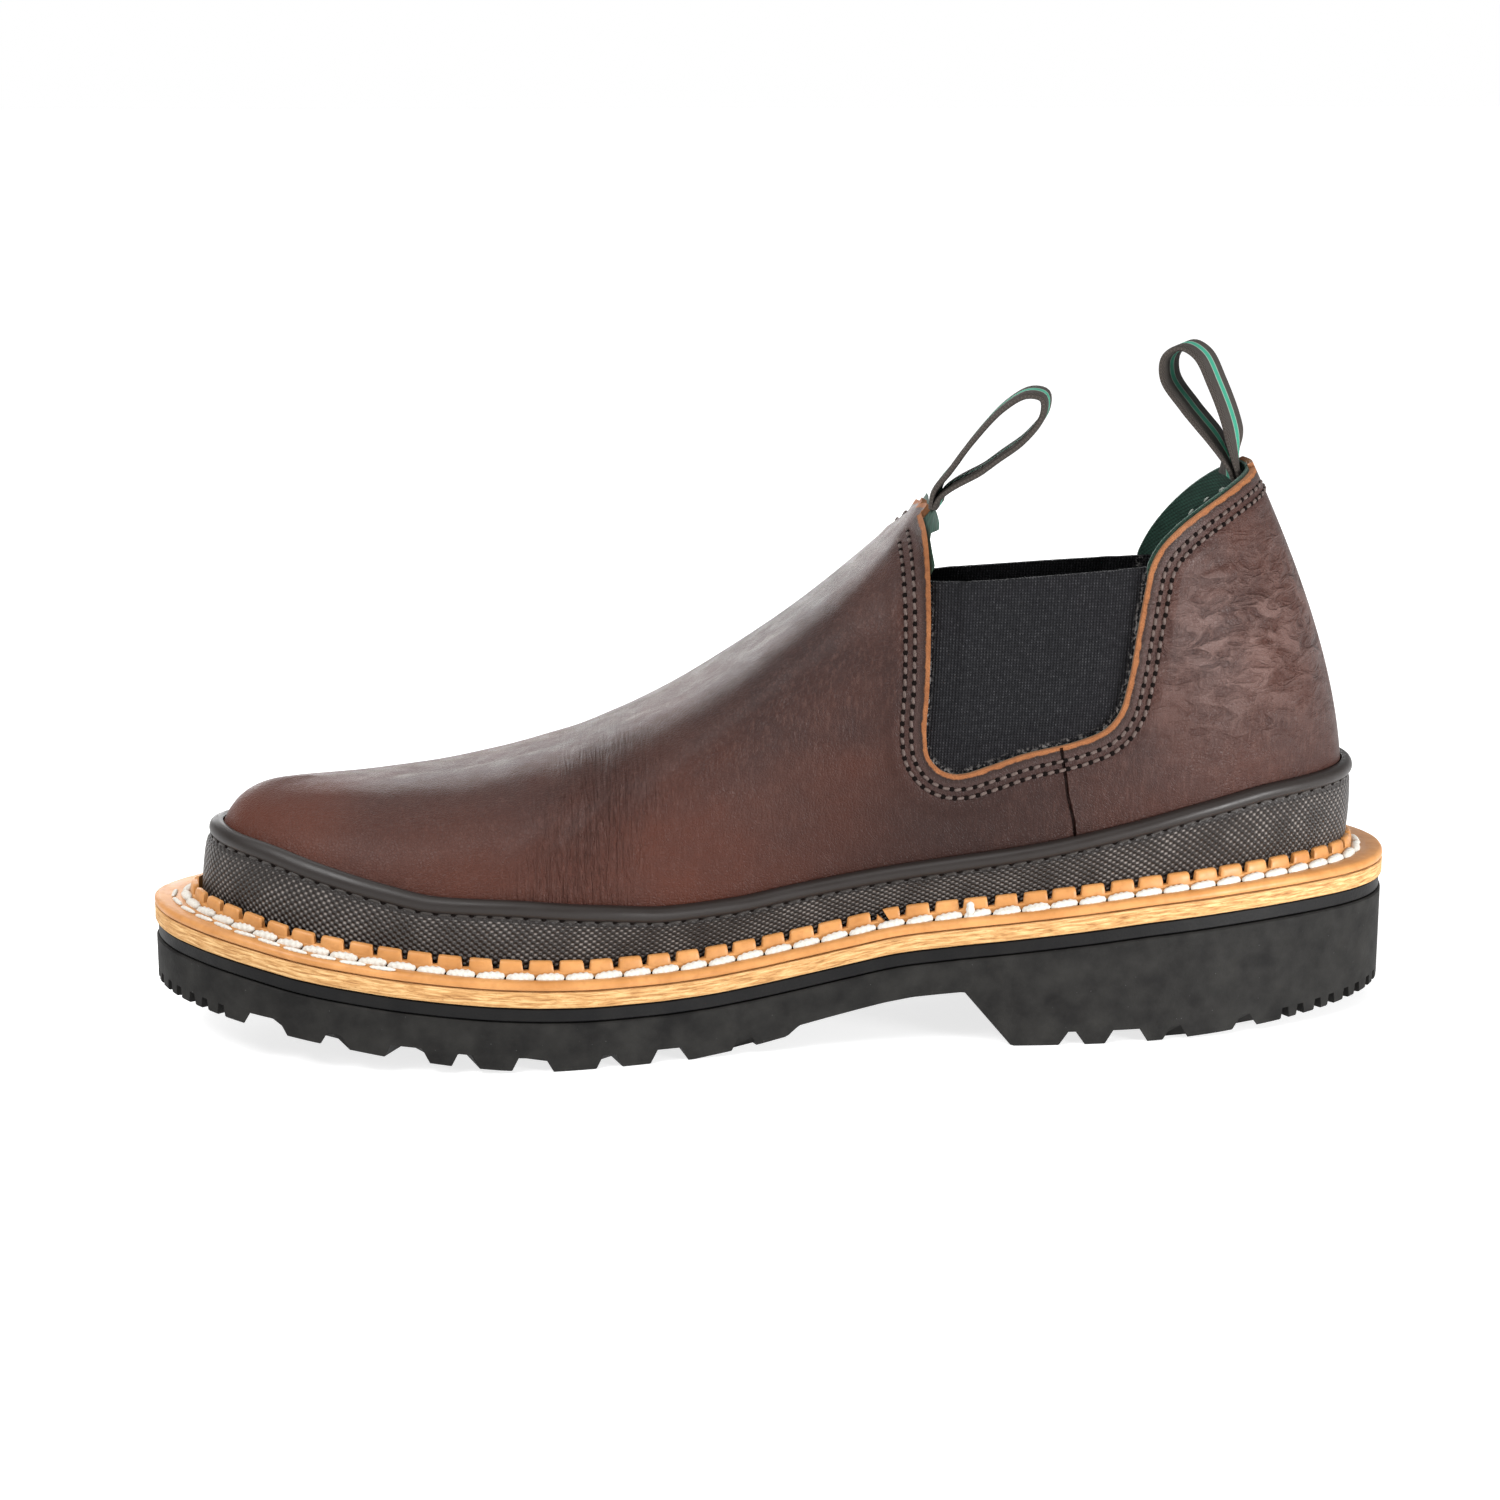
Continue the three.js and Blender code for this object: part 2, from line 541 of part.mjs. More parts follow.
// Collar and gore cut-out seen from the side, front edge first, as shares of length and height.
const innerNotchRows = [
  { x: 0.3896, z: 1.1552 }, { x: 0.3903, z: 0.9458 }, { x: 0.3909, z: 0.852 }, { x: 0.3916, z: 0.7437 },
  { x: 0.3932, z: 0.6354 }, { x: 0.3951, z: 0.5487 }, { x: 0.3919, z: 0.5119 }, { x: 0.3813, z: 0.4874 },
  { x: 0.3676, z: 0.4816 }, { x: 0.3461, z: 0.4953 }, { x: 0.3189, z: 0.517 }, { x: 0.2751, z: 0.5401 },
  { x: 0.2556, z: 0.5588 }, { x: 0.2447, z: 0.587 }, { x: 0.2377, z: 0.6426 }, { x: 0.231, z: 0.7343 },
  { x: 0.2255, z: 0.8029 }, { x: 0.222, z: 0.839 }, { x: 0.2137, z: 0.8736 }, { x: 0.1983, z: 0.9069 },
  { x: 0.1798, z: 0.9343 }, { x: 0.1619, z: 0.956 }, { x: 0.1459, z: 0.9733 }, { x: 0.1318, z: 0.9863 },
  { x: 0.1139, z: 1.0036 }, { x: 0.1139, z: 1.1552 },
];
// The outer side dips a little lower and further back.
const outerNotchRows = [
  { x: 0.3896, z: 1.1552 }, { x: 0.389, z: 0.9458 }, { x: 0.3813, z: 0.852 }, { x: 0.3749, z: 0.7437 },
  { x: 0.3743, z: 0.6354 }, { x: 0.3756, z: 0.5271 }, { x: 0.3717, z: 0.4809 }, { x: 0.3615, z: 0.4563 },
  { x: 0.3474, z: 0.4505 }, { x: 0.325, z: 0.4635 }, { x: 0.2981, z: 0.4838 }, { x: 0.2546, z: 0.5069 },
  { x: 0.2342, z: 0.5256 }, { x: 0.222, z: 0.5531 }, { x: 0.2137, z: 0.6065 }, { x: 0.2047, z: 0.7004 },
  { x: 0.1971, z: 0.7653 }, { x: 0.1926, z: 0.7971 }, { x: 0.1849, z: 0.8375 }, { x: 0.1727, z: 0.8809 },
  { x: 0.1587, z: 0.9199 }, { x: 0.1459, z: 0.9502 }, { x: 0.1344, z: 0.9733 }, { x: 0.1235, z: 0.9892 },
  { x: 0.1107, z: 1.0036 }, { x: 0.1107, z: 1.1552 },
];
const notchShape = (side) => (side > 0 ? innerNotchRows : outerNotchRows)
  .map((r) => new THREE.Vector2(X(r.x), Z(r.z)));
// A prism across the shoe from y = from outward to one side.
function prism(points, from, to) {
  const shape = new THREE.Shape(points);
  const g = new THREE.ExtrudeGeometry(shape, { depth: to - from, bevelEnabled: false, steps: 1 });
  g.rotateX(Math.PI / 2);
  g.translate(0, to, 0);
  return solidFromSoup(g);
}
function solidFromSoup(geometry) {
  const src = geometry.index ? geometry.toNonIndexed() : geometry;
  const arr = src.attributes.position.array;
  const map = new Map();
  const pos = [];
  const idx = [];
  for (let i = 0; i < arr.length; i += 3) {
    const key = [0, 1, 2].map((c) => Math.round(arr[i + c] * 1e4)).join(",");
    if (!map.has(key)) {
      map.set(key, pos.length / 3);
      pos.push(arr[i], arr[i + 1], arr[i + 2]);
    }
    idx.push(map.get(key));
  }
  return toSolid(geometryOf(pos, idx));
}

const innerNotch = prism(notchShape(1), Y(0.05), Y(1));
const outerNotch = prism(notchShape(-1), -Y(1), -Y(0.05));
const upper = skin(0, wall).subtract(innerNotch).subtract(outerNotch);

// Gores: panels just inside the leather, a little larger than the cut-outs.
const goreTop = { front: Z(0.81), back: Z(0.842) };
function goreShape(side) {
  const low = side > 0 ? 0 : 1;
  const pts = notchShape(side).filter((p) => p.y < Z(0.86));
  const grown = pts.map((p, i) => {
    const a = pts[Math.max(0, i - 1)];
    const b = pts[Math.min(pts.length - 1, i + 1)];
    const t = b.clone().sub(a).normalize();
    return new THREE.Vector2(p.x - t.y * goreMargin, p.y + t.x * goreMargin);
  });
  const first = grown[0];
  const last = grown[grown.length - 1];
  const drop = low * Z(0.045);
  const body = grown.filter((p) => p.y < goreTop.front - drop - 4);
  return [
    new THREE.Vector2(first.x, goreTop.front - drop),
    ...body,
    new THREE.Vector2(last.x, goreTop.back - drop),
  ];
}
const goreDepth = wall + gap;
const goreSkin = skin(goreDepth, goreDepth + goreThickness);
const gore = (side) => (side > 0
  ? goreSkin.intersect(prism(goreShape(1), Y(0.09), Y(1)))
  : goreSkin.intersect(prism(goreShape(-1), -Y(1), -Y(0.09))));

// Rand: a rubber band round the foot of the upper with a smooth bead along its top.
const randTopRows = [
  { at: 0.0019, z: 0.4477 }, { at: 0.032, z: 0.4491 }, { at: 0.1171, z: 0.4433 }, { at: 0.1747, z: 0.4224 },
  { at: 0.2418, z: 0.3884 }, { at: 0.2994, z: 0.361 }, { at: 0.3346, z: 0.3473 }, { at: 0.4274, z: 0.3162 },
  { at: 0.5042, z: 0.2888 }, { at: 0.5521, z: 0.2729 }, { at: 0.6033, z: 0.2679 }, { at: 0.6513, z: 0.2773 },
  { at: 0.6801, z: 0.283 }, { at: 0.7249, z: 0.2917 }, { at: 0.7841, z: 0.2975 }, { at: 0.8241, z: 0.3141 },
  { at: 0.8752, z: 0.3408 }, { at: 0.9168, z: 0.3639 }, { at: 0.968, z: 0.3798 },
];
const randTop = smooth(column(randTopRows, "at", X), column(randTopRows, "z", Z));
function randBand() {
  const pos = [];
  const idx = [];
  // Levels of the profile: up 0 to 1 below the bead, then 1 to 2 over the bead.
  const steps = [
    ...[0, 0.5, 1].map((up) => ({ up, out: randThickness })),
    { up: 1.25, out: randThickness + 0.8 },
    { up: 1.7, out: randThickness + 0.8 },
    { up: 2, out: randThickness * 0.5 },
    ...[2, 1.5, 1, 0.66, 0.33, 0].map((up) => ({ up, out: 0.1 })),
  ];
  const count = columns.length;
  columns.forEach((c, ci) => {
    const points = grid.id[ci].map((i) => grid.verts[i]);
    const across = grid.id[ci].map((i) => normals[i]);
    // Where the column of the upper's face reaches a height.
    const pointAt = (z) => {
      let j = 1;
      while (j < ROWS && points[j].z < z) j++;
      const t = Math.min(1, Math.max(0, (z - points[j - 1].z) / (points[j].z - points[j - 1].z)));
      return {
        p: points[j - 1].clone().lerp(points[j], t),
        n: across[j - 1].clone().lerp(across[j], t).normalize(),
      };
    };
    const foot = points[0];
    const top = randTop(foot.x);
    for (const s of steps) {
      if (s.up === 0) {
        const n = across[0].clone().setZ(0).normalize();
        const v = foot.clone().addScaledVector(n, gap + s.out);
        pos.push(v.x, v.y, foot.z);
        continue;
      }
      const z = s.up <= 1
        ? foot.z + (top - beadHeight - foot.z) * s.up
        : top - beadHeight * (2 - s.up);
      const at = pointAt(z);
      const v = at.p.addScaledVector(at.n, gap + s.out);
      pos.push(v.x, v.y, v.z);
    }
  });
  const m = steps.length;
  for (let j = 0; j < count; j++) {
    for (let i = 0; i < m; i++) {
      const a = j * m + i;
      const b = j * m + ((i + 1) % m);
      const c = ((j + 1) % count) * m + ((i + 1) % m);
      const d = ((j + 1) % count) * m + i;
      idx.push(a, b, c, a, c, d);
    }
  }
  return toSolid(geometryOf(pos, idx));
}

// Insole inside the foot of the upper.
const insole = layer((x) => ledge(x) + wall + 0.6, (x) => footing(x) + gap + insoleThickness,
  (x) => footing(x) + gap, 32);

// Pull loops: webbing folded over, its ends against the inside of a tab. The ends bend with the tab,
// and the fold may turn as it rises.
function loop(rows, { pivot, start, twist, bend }) {
  const along = rows.map((r) => new THREE.Vector3(X(r.x), 0, Z(r.z)));
  const line = new THREE.CatmullRomCurve3(along, false, "centripetal");
  const n = 24;
  const pts = line.getSpacedPoints(n);
  const left = [];
  const right = [];
  pts.forEach((p, i) => {
    const a = pts[Math.max(0, i - 1)];
    const b = pts[Math.min(n, i + 1)];
    const t = new THREE.Vector3().subVectors(b, a).normalize();
    left.push([p.x - (t.z * webbing) / 2, p.z + (t.x * webbing) / 2]);
    right.push([p.x + (t.z * webbing) / 2, p.z - (t.x * webbing) / 2]);
  });
  const across = 3;
  const pos = [];
  const idx = [];
  const put = (x, y, z) => {
    const rise = Math.min(1, Math.max(0, (z - start) / Z(0.12)));
    const ease = rise * rise * (3 - 2 * rise);
    const bent = x + bend * y * y * (1 - ease) - pivot;
    const c = Math.cos(twist * ease);
    const s = Math.sin(twist * ease);
    pos.push(pivot + bent * c - y * s, bent * s + y * c, z);
  };
  for (let i = 0; i <= n; i++) {
    for (const [x, z] of [left[i], right[i]]) {
      for (let j = 0; j <= across; j++) put(x, (j / across - 0.5) * loopWidth, z);
    }
  }
  const m = across + 1;
  const at = (i, face, j) => i * 2 * m + face * m + j;
  const quad = (a, b, c, d) => idx.push(a, b, c, a, c, d);
  for (let i = 0; i < n; i++) {
    for (let j = 0; j < across; j++) {
      quad(at(i, 0, j), at(i + 1, 0, j), at(i + 1, 0, j + 1), at(i, 0, j + 1));
      quad(at(i, 1, j), at(i, 1, j + 1), at(i + 1, 1, j + 1), at(i + 1, 1, j));
    }
    quad(at(i, 0, 0), at(i, 1, 0), at(i + 1, 1, 0), at(i + 1, 0, 0));
    quad(at(i, 0, across), at(i + 1, 0, across), at(i + 1, 1, across), at(i, 1, across));
  }
  for (let j = 0; j < across; j++) {
    quad(at(0, 0, j), at(0, 0, j + 1), at(0, 1, j + 1), at(0, 1, j));
    quad(at(n, 0, j), at(n, 1, j), at(n, 1, j + 1), at(n, 0, j + 1));
  }
  return toSolid(geometryOf(pos, idx));
}
const frontLoop = [
  { x: 0.3788, z: 0.8231 }, { x: 0.3781, z: 0.8881 }, { x: 0.3756, z: 0.9415 }, { x: 0.3653, z: 0.9819 },
  { x: 0.3442, z: 1.0484 }, { x: 0.3218, z: 1.1032 }, { x: 0.3039, z: 1.1264 }, { x: 0.2917, z: 1.1206 },
  { x: 0.2917, z: 1.0903 }, { x: 0.3058, z: 1.0469 }, { x: 0.3282, z: 1.0079 }, { x: 0.3525, z: 0.9632 },
  { x: 0.3666, z: 0.9227 }, { x: 0.3704, z: 0.8809 }, { x: 0.3711, z: 0.8231 },
];
const backLoop = [
  { x: 0.119, z: 0.8881 }, { x: 0.1286, z: 0.9458 }, { x: 0.135, z: 0.9964 }, { x: 0.1401, z: 1.0614 },
  { x: 0.1536, z: 1.1372 }, { x: 0.1657, z: 1.187 }, { x: 0.1785, z: 1.2014 }, { x: 0.1907, z: 1.1841 },
  { x: 0.1913, z: 1.1451 }, { x: 0.1747, z: 1.0931 }, { x: 0.158, z: 1.0484 }, { x: 0.1497, z: 1.0079 },
  { x: 0.1427, z: 0.9675 }, { x: 0.128, z: 0.8881 },
];

const shoe = new THREE.Group();
shoe.name = "slip_on_work_boot";
function add(name, solid, colour, roughness, metalness = 0) {
  const material = new THREE.MeshStandardMaterial({ color: colour, roughness, metalness });
  const mesh = new THREE.Mesh(fromSolid(solid), material);
  mesh.name = name;
  shoe.add(mesh);
  return mesh;
}
add("outsole", outsole, 0x242322, 0.8);
add("rubber_layer", rubberLayer, 0x141414, 0.6);
add("midsole", midsole, 0xd9b47a, 0.75);
add("welt", welt, 0xb9803f, 0.5);
add("rand", randBand(), 0x3a302b, 0.6);
add("upper", upper, 0x4a2a22, 0.45);
add("gore_inner", gore(1), 0x1a1a1c, 0.9);
add("gore_outer", gore(-1), 0x1a1a1c, 0.9);
add("insole", insole, 0x6b5a44, 0.9);
const frontFold = { pivot: X(0.3696), start: Z(0.925), twist: -0.24, bend: -0.003 };
const backFold = { pivot: X(0.1436), start: Z(0.985), twist: -0.42, bend: 0.02 };
add("pull_loop_front", loop(frontLoop, frontFold), 0x3c3836, 0.9);
add("pull_loop_back", loop(backLoop, backFold), 0x3c3836, 0.9);

// Origin at the middle of the footprint, on the ground.
const bounds = new THREE.Box3().setFromObject(shoe);
const middle = bounds.getCenter(new THREE.Vector3());
shoe.position.set(-middle.x, -middle.y, -bounds.min.z);

export default shoe;
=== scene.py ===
"""Looks of a low slip-on work boot for the right foot: waxed leather upper with elastic gores, rubber
rand, notched welt with heavy stitching, fibre midsole and a thick lugged sole.

Shapes are worked out in millimetres from the heel to the toe, and moved to the model's frame in metres.
"""

import math

import bpy
import numpy as np
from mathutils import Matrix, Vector
from mathutils.bvhtree import BVHTree


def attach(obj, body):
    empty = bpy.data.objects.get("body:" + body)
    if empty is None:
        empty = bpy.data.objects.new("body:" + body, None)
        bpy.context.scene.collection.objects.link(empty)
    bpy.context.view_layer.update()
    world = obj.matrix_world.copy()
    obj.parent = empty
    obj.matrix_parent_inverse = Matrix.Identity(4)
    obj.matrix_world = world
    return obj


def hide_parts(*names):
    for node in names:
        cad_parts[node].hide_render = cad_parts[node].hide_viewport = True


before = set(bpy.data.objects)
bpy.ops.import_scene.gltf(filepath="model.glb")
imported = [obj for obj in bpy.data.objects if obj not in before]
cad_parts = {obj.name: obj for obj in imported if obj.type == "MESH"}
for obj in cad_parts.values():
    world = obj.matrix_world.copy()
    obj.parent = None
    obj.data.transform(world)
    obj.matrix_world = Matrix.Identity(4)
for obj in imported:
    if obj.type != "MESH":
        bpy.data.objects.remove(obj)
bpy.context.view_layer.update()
scene = bpy.context.scene

# Named sizes, in millimetres.
LENGTH, WIDTH, HEIGHT = 312.6, 111.0, 138.5
WALL, GAP = 2.2, 0.3
MIDSOLE, LAYER, LAYER_INSET = 4.0, 3.3, 0.7
RAND, BEAD = 1.9, 3.8
WEBBING, LOOP_WIDTH = 1.5, 20.0
LUG_DEPTH = 3.4
LEATHER = 1.5

# Outline of the sole: place along the length, half-width on the inner and on the outer side.
# Here and below, places are shares of the length, widths of the width and heights of the height.
SOLE = [
    (0, -0.0595, 0.0595), (0.0026, 0.0018, 0.1171), (0.0099, 0.0649, 0.173), (0.023, 0.1225, 0.2216),
    (0.0435, 0.1766, 0.2667), (0.071, 0.227, 0.3027), (0.1062, 0.2739, 0.3315), (0.1459, 0.3144, 0.3532),
    (0.1907, 0.3459, 0.3694), (0.2482, 0.364, 0.382), (0.3122, 0.3676, 0.3946), (0.3762, 0.355, 0.4189),
    (0.4338, 0.3514, 0.4486), (0.4882, 0.364, 0.4793), (0.5393, 0.3865, 0.5045), (0.5905, 0.418, 0.5207),
    (0.6417, 0.4523, 0.5243), (0.6865, 0.4721, 0.5171), (0.7313, 0.4775, 0.4991), (0.7761, 0.4721, 0.4685),
    (0.8241, 0.4577, 0.4234), (0.8688, 0.4306, 0.364), (0.9072, 0.3856, 0.2955), (0.9392, 0.3279, 0.2216),
    (0.9648, 0.2631, 0.1477), (0.984, 0.1946, 0.0739), (0.9962, 0.1171, 0.0018), (1, 0.045, -0.045),
]
# How far the foot of the upper stands in from the edge of the sole, in millimetres.
LEDGE = [
    (0, 13), (0.06, 11.2), (0.15, 9.6), (0.36, 9.2),
    (0.5, 9.4), (0.7, 9.4), (0.88, 11.2), (1, 13.8),
]
# Height of the underside of the midsole, and of the tread.
SEAT = [
    (0.0019, 0.2339), (0.0659, 0.2339), (0.1363, 0.2303), (0.1811, 0.2253), (0.2194, 0.2195),
    (0.2578, 0.2108), (0.2994, 0.2014), (0.3378, 0.1921), (0.3762, 0.1827), (0.4146, 0.1726),
    (0.453, 0.156), (0.4946, 0.1386), (0.5329, 0.1249), (0.5713, 0.1155), (0.6097, 0.1119),
    (0.6481, 0.1119), (0.6865, 0.1148), (0.7249, 0.1199), (0.7633, 0.1278), (0.8017, 0.1379),
    (0.8401, 0.1502), (0.8784, 0.1632), (0.9168, 0.1783), (0.9584, 0.1906), (1, 0.2007),
]
TREAD = [
    (0.0019, 0.0361), (0.0275, 0.0303), (0.0659, 0.0217), (0.1107, 0.013), (0.1619, 0.0058),
    (0.2067, 0.0014), (0.2322, 0), (0.3279, 0), (0.365, 0.0989), (0.3826, 0.0953),
    (0.405, 0.0903), (0.4274, 0.0809), (0.4594, 0.0643), (0.4946, 0.0462), (0.5042, 0.0274),
    (0.5234, 0.0181), (0.5457, 0.0094), (0.5777, 0), (0.6865, 0), (0.7249, 0.0058),
    (0.7633, 0.0152), (0.8145, 0.0318), (0.856, 0.0484), (0.9168, 0.0693), (0.9552, 0.0809),
    (1, 0.0924),
]
# Gaps between lugs on both sides: place, mouth, root and length across the sole.
LUG_GAPS = [
    (0.905, 0.0301, 0.0198, 0.2342), (0.849, 0.0218, 0.0096, 0.1351), (0.7969, 0.0339, 0.023, 0.2703),
    (0.7505, 0.0218, 0.0109, 0.1532), (0.7015, 0.0326, 0.0211, 0.2883), (0.6411, 0.0224, 0.0102, 0.1622),
    (0.5963, 0.032, 0.0192, 0.2883), (0.5355, 0.0211, 0.0096, 0.1441), (0.2802, 0.0237, 0.0058, 0.1532),
    (0.2367, 0.0365, 0.0211, 0.2342), (0.1967, 0.0218, 0.0083, 0.1351), (0.1379, 0.0237, 0.0077, 0.1532),
]
# Ribs of the upper from its foot to the collar or ridge: k is the share of the way from heel to toe.
# Then the top's place, side and height, and the arc's turn (degrees), up, out, over and drop.
RIBS = [
    (0, 0.1248, 0, 1, 0, 0.224, 0.061, 0.133, 0.217),
    (0.05, 0.1273, 0.0586, 1, 24, 0.224, 0.059, 0.133, 0.217),
    (0.1, 0.1363, 0.1171, 0.9978, 46, 0.224, 0.054, 0.123, 0.22),
    (0.17, 0.1683, 0.2018, 0.9856, 68, 0.231, 0.045, 0.081, 0.238),
    (0.24, 0.2131, 0.2523, 0.9711, 84, 0.238, 0.041, 0.045, 0.253),
    (0.31, 0.2674, 0.2703, 0.9603, 95, 0.253, 0.038, 0.041, 0.253),
    (0.37, 0.3186, 0.2595, 0.9531, 104, 0.282, 0.038, 0.068, 0.224),
    (0.415, 0.357, 0.2216, 0.9444, 106, 0.318, 0.04, 0.113, 0.173),
    (0.455, 0.3813, 0.1405, 0.9357, 103, 0.361, 0.041, 0.18, 0.094),
    (0.5, 0.389, 0, 0.9242, 99, 0.375, 0.045, 0.252, 0.029),
    (0.56, 0.4319, 0, 0.8289, 99, 0.339, 0.047, 0.266, 0.029),
    (0.625, 0.4914, 0, 0.722, 99, 0.289, 0.047, 0.275, 0.026),
    (0.69, 0.5617, 0, 0.6123, 100, 0.238, 0.045, 0.288, 0.022),
    (0.735, 0.6161, 0, 0.5502, 102, 0.202, 0.041, 0.297, 0.017),
    (0.8, 0.6961, 0, 0.4874, 106, 0.173, 0.036, 0.302, 0.009),
    (0.85, 0.7537, 0, 0.4592, 114, 0.159, 0.032, 0.288, 0),
    (0.91, 0.8177, 0, 0.4462, 130, 0.155, 0.02, 0.261, -0.004),
    (0.955, 0.856, 0, 0.4462, 153, 0.155, 0.005, 0.221, -0.009),
    (1, 0.8688, 0, 0.4491, 180, 0.155, -0.007, 0.213, -0.01),
]
# Collar and gore cut-out seen from the side, front edge first: inner side, then outer side.
INNER_NOTCH = [
    (0.3896, 1.1552), (0.3903, 0.9458), (0.3909, 0.852), (0.3916, 0.7437), (0.3932, 0.6354),
    (0.3951, 0.5487), (0.3919, 0.5119), (0.3813, 0.4874), (0.3676, 0.4816), (0.3461, 0.4953),
    (0.3189, 0.517), (0.2751, 0.5401), (0.2556, 0.5588), (0.2447, 0.587), (0.2377, 0.6426),
    (0.231, 0.7343), (0.2255, 0.8029), (0.222, 0.839), (0.2137, 0.8736), (0.1983, 0.9069),
    (0.1798, 0.9343), (0.1619, 0.956), (0.1459, 0.9733), (0.1318, 0.9863), (0.1139, 1.0036),
    (0.1139, 1.1552),
]
OUTER_NOTCH = [
    (0.3896, 1.1552), (0.389, 0.9458), (0.3813, 0.852), (0.3749, 0.7437), (0.3743, 0.6354),
    (0.3756, 0.5271), (0.3717, 0.4809), (0.3615, 0.4563), (0.3474, 0.4505), (0.325, 0.4635),
    (0.2981, 0.4838), (0.2546, 0.5069), (0.2342, 0.5256), (0.222, 0.5531), (0.2137, 0.6065),
    (0.2047, 0.7004), (0.1971, 0.7653), (0.1926, 0.7971), (0.1849, 0.8375), (0.1727, 0.8809),
    (0.1587, 0.9199), (0.1459, 0.9502), (0.1344, 0.9733), (0.1235, 0.9892), (0.1107, 1.0036),
    (0.1107, 1.1552),
]
# Top of the rand's bead.
RAND_TOP = [
    (0.0019, 0.4477), (0.032, 0.4491), (0.1171, 0.4433), (0.1747, 0.4224), (0.2418, 0.3884),
    (0.2994, 0.361), (0.3346, 0.3473), (0.4274, 0.3162), (0.5042, 0.2888), (0.5521, 0.2729),
    (0.6033, 0.2679), (0.6513, 0.2773), (0.6801, 0.283), (0.7249, 0.2917), (0.7841, 0.2975),
    (0.8241, 0.3141), (0.8752, 0.3408), (0.9168, 0.3639), (0.968, 0.3798),
]
# Middle lines of the pull loops.
FRONT_LOOP = [
    (0.3788, 0.8231), (0.3781, 0.8881), (0.3756, 0.9415), (0.3653, 0.9819), (0.3442, 1.0484),
    (0.3218, 1.1032), (0.3039, 1.1264), (0.2917, 1.1206), (0.2917, 1.0903), (0.3058, 1.0469),
    (0.3282, 1.0079), (0.3525, 0.9632), (0.3666, 0.9227), (0.3704, 0.8809), (0.3711, 0.8231),
]
BACK_LOOP = [
    (0.119, 0.8881), (0.1286, 0.9458), (0.135, 0.9964), (0.1401, 1.0614), (0.1536, 1.1372),
    (0.1657, 1.187), (0.1785, 1.2014), (0.1907, 1.1841), (0.1913, 1.1451), (0.1747, 1.0931),
    (0.158, 1.0484), (0.1497, 1.0079), (0.1427, 0.9675), (0.128, 0.8881),
]


# Curves

def smooth(xs, ys):
    """Curve through the rows of a table, without overshoot."""
    xs, ys = np.asarray(xs, float), np.asarray(ys, float)
    run, rise = np.diff(xs), np.diff(ys) / np.diff(xs)
    m = np.zeros(len(xs))
    m[0], m[-1] = rise[0], rise[-1]
    for i in range(1, len(xs) - 1):
        if rise[i - 1] * rise[i] > 0:
            a, b = run[i - 1], run[i]
            m[i] = 3 * (a + b) / ((2 * b + a) / rise[i - 1] + (b + 2 * a) / rise[i])

    def at(x):
        x = np.clip(np.asarray(x, float), xs[0], xs[-1])
        i = np.clip(np.searchsorted(xs, x, side="right") - 1, 0, len(xs) - 2)
        h = xs[i + 1] - xs[i]
        t = (x - xs[i]) / h
        t2, t3 = t * t, t * t * t
        return ((2 * t3 - 3 * t2 + 1) * ys[i] + (t3 - 2 * t2 + t) * h * m[i]
                + (3 * t2 - 2 * t3) * ys[i + 1] + (t3 - t2) * h * m[i + 1])

    return at


def straight(xs, ys):
    return lambda x: np.interp(x, xs, ys)


def through(points, closed=False, each=16):
    """Centripetal spline through points, sampled each times a span."""
    p = np.asarray(points, float)
    if closed:
        p = np.vstack([p[-1], p, p[0], p[1]])
    else:
        p = np.vstack([2 * p[0] - p[1], p, 2 * p[-1] - p[-2]])
    t = np.linspace(0, 1, each, endpoint=False)[:, None]
    out = []
    for a, b, c, d in zip(p[:-3], p[1:-2], p[2:-1], p[3:]):
        da, db, dc = (max(np.linalg.norm(v), 1e-6) ** 0.5 for v in (b - a, c - b, d - c))
        t1 = ((b - a) / da - (c - a) / (da + db) + (c - b) / db) * db
        t2 = ((c - b) / db - (d - b) / (db + dc) + (d - c) / dc) * db
        out.append(b + t1 * t + (-3 * b + 3 * c - 2 * t1 - t2) * t ** 2
                   + (2 * b - 2 * c + t1 + t2) * t ** 3)
    if not closed:
        out.append(p[-2][None])
    return np.vstack(out)


def lengths(points):
    """Distance along a line at each of its points."""
    return np.concatenate([[0], np.cumsum(np.linalg.norm(np.diff(points, axis=0), axis=1))])


def closed(points):
    """A ring's points with the first one again at the end."""
    return np.concatenate([points, points[:1]])


def evenly(points, count):
    """The same line with count points at equal distances."""
    along = lengths(points)
    want = np.linspace(0, along[-1], count)
    return np.stack([np.interp(want, along, points[:, i]) for i in range(points.shape[1])], 1)


def unit(v):
    return v / np.maximum(np.linalg.norm(v, axis=-1, keepdims=True), 1e-12)


def column(rows, i, scale=1.0):
    return [r[i] * scale for r in rows]


seat = smooth(column(SEAT, 0, LENGTH), column(SEAT, 1, HEIGHT))
tread = straight(column(TREAD, 0, LENGTH), column(TREAD, 1, HEIGHT))
ledge = smooth(column(LEDGE, 0, LENGTH), column(LEDGE, 1))
rand_top = smooth(column(RAND_TOP, 0, LENGTH), column(RAND_TOP, 1, HEIGHT))


def footing(x):
    return seat(x) + MIDSOLE


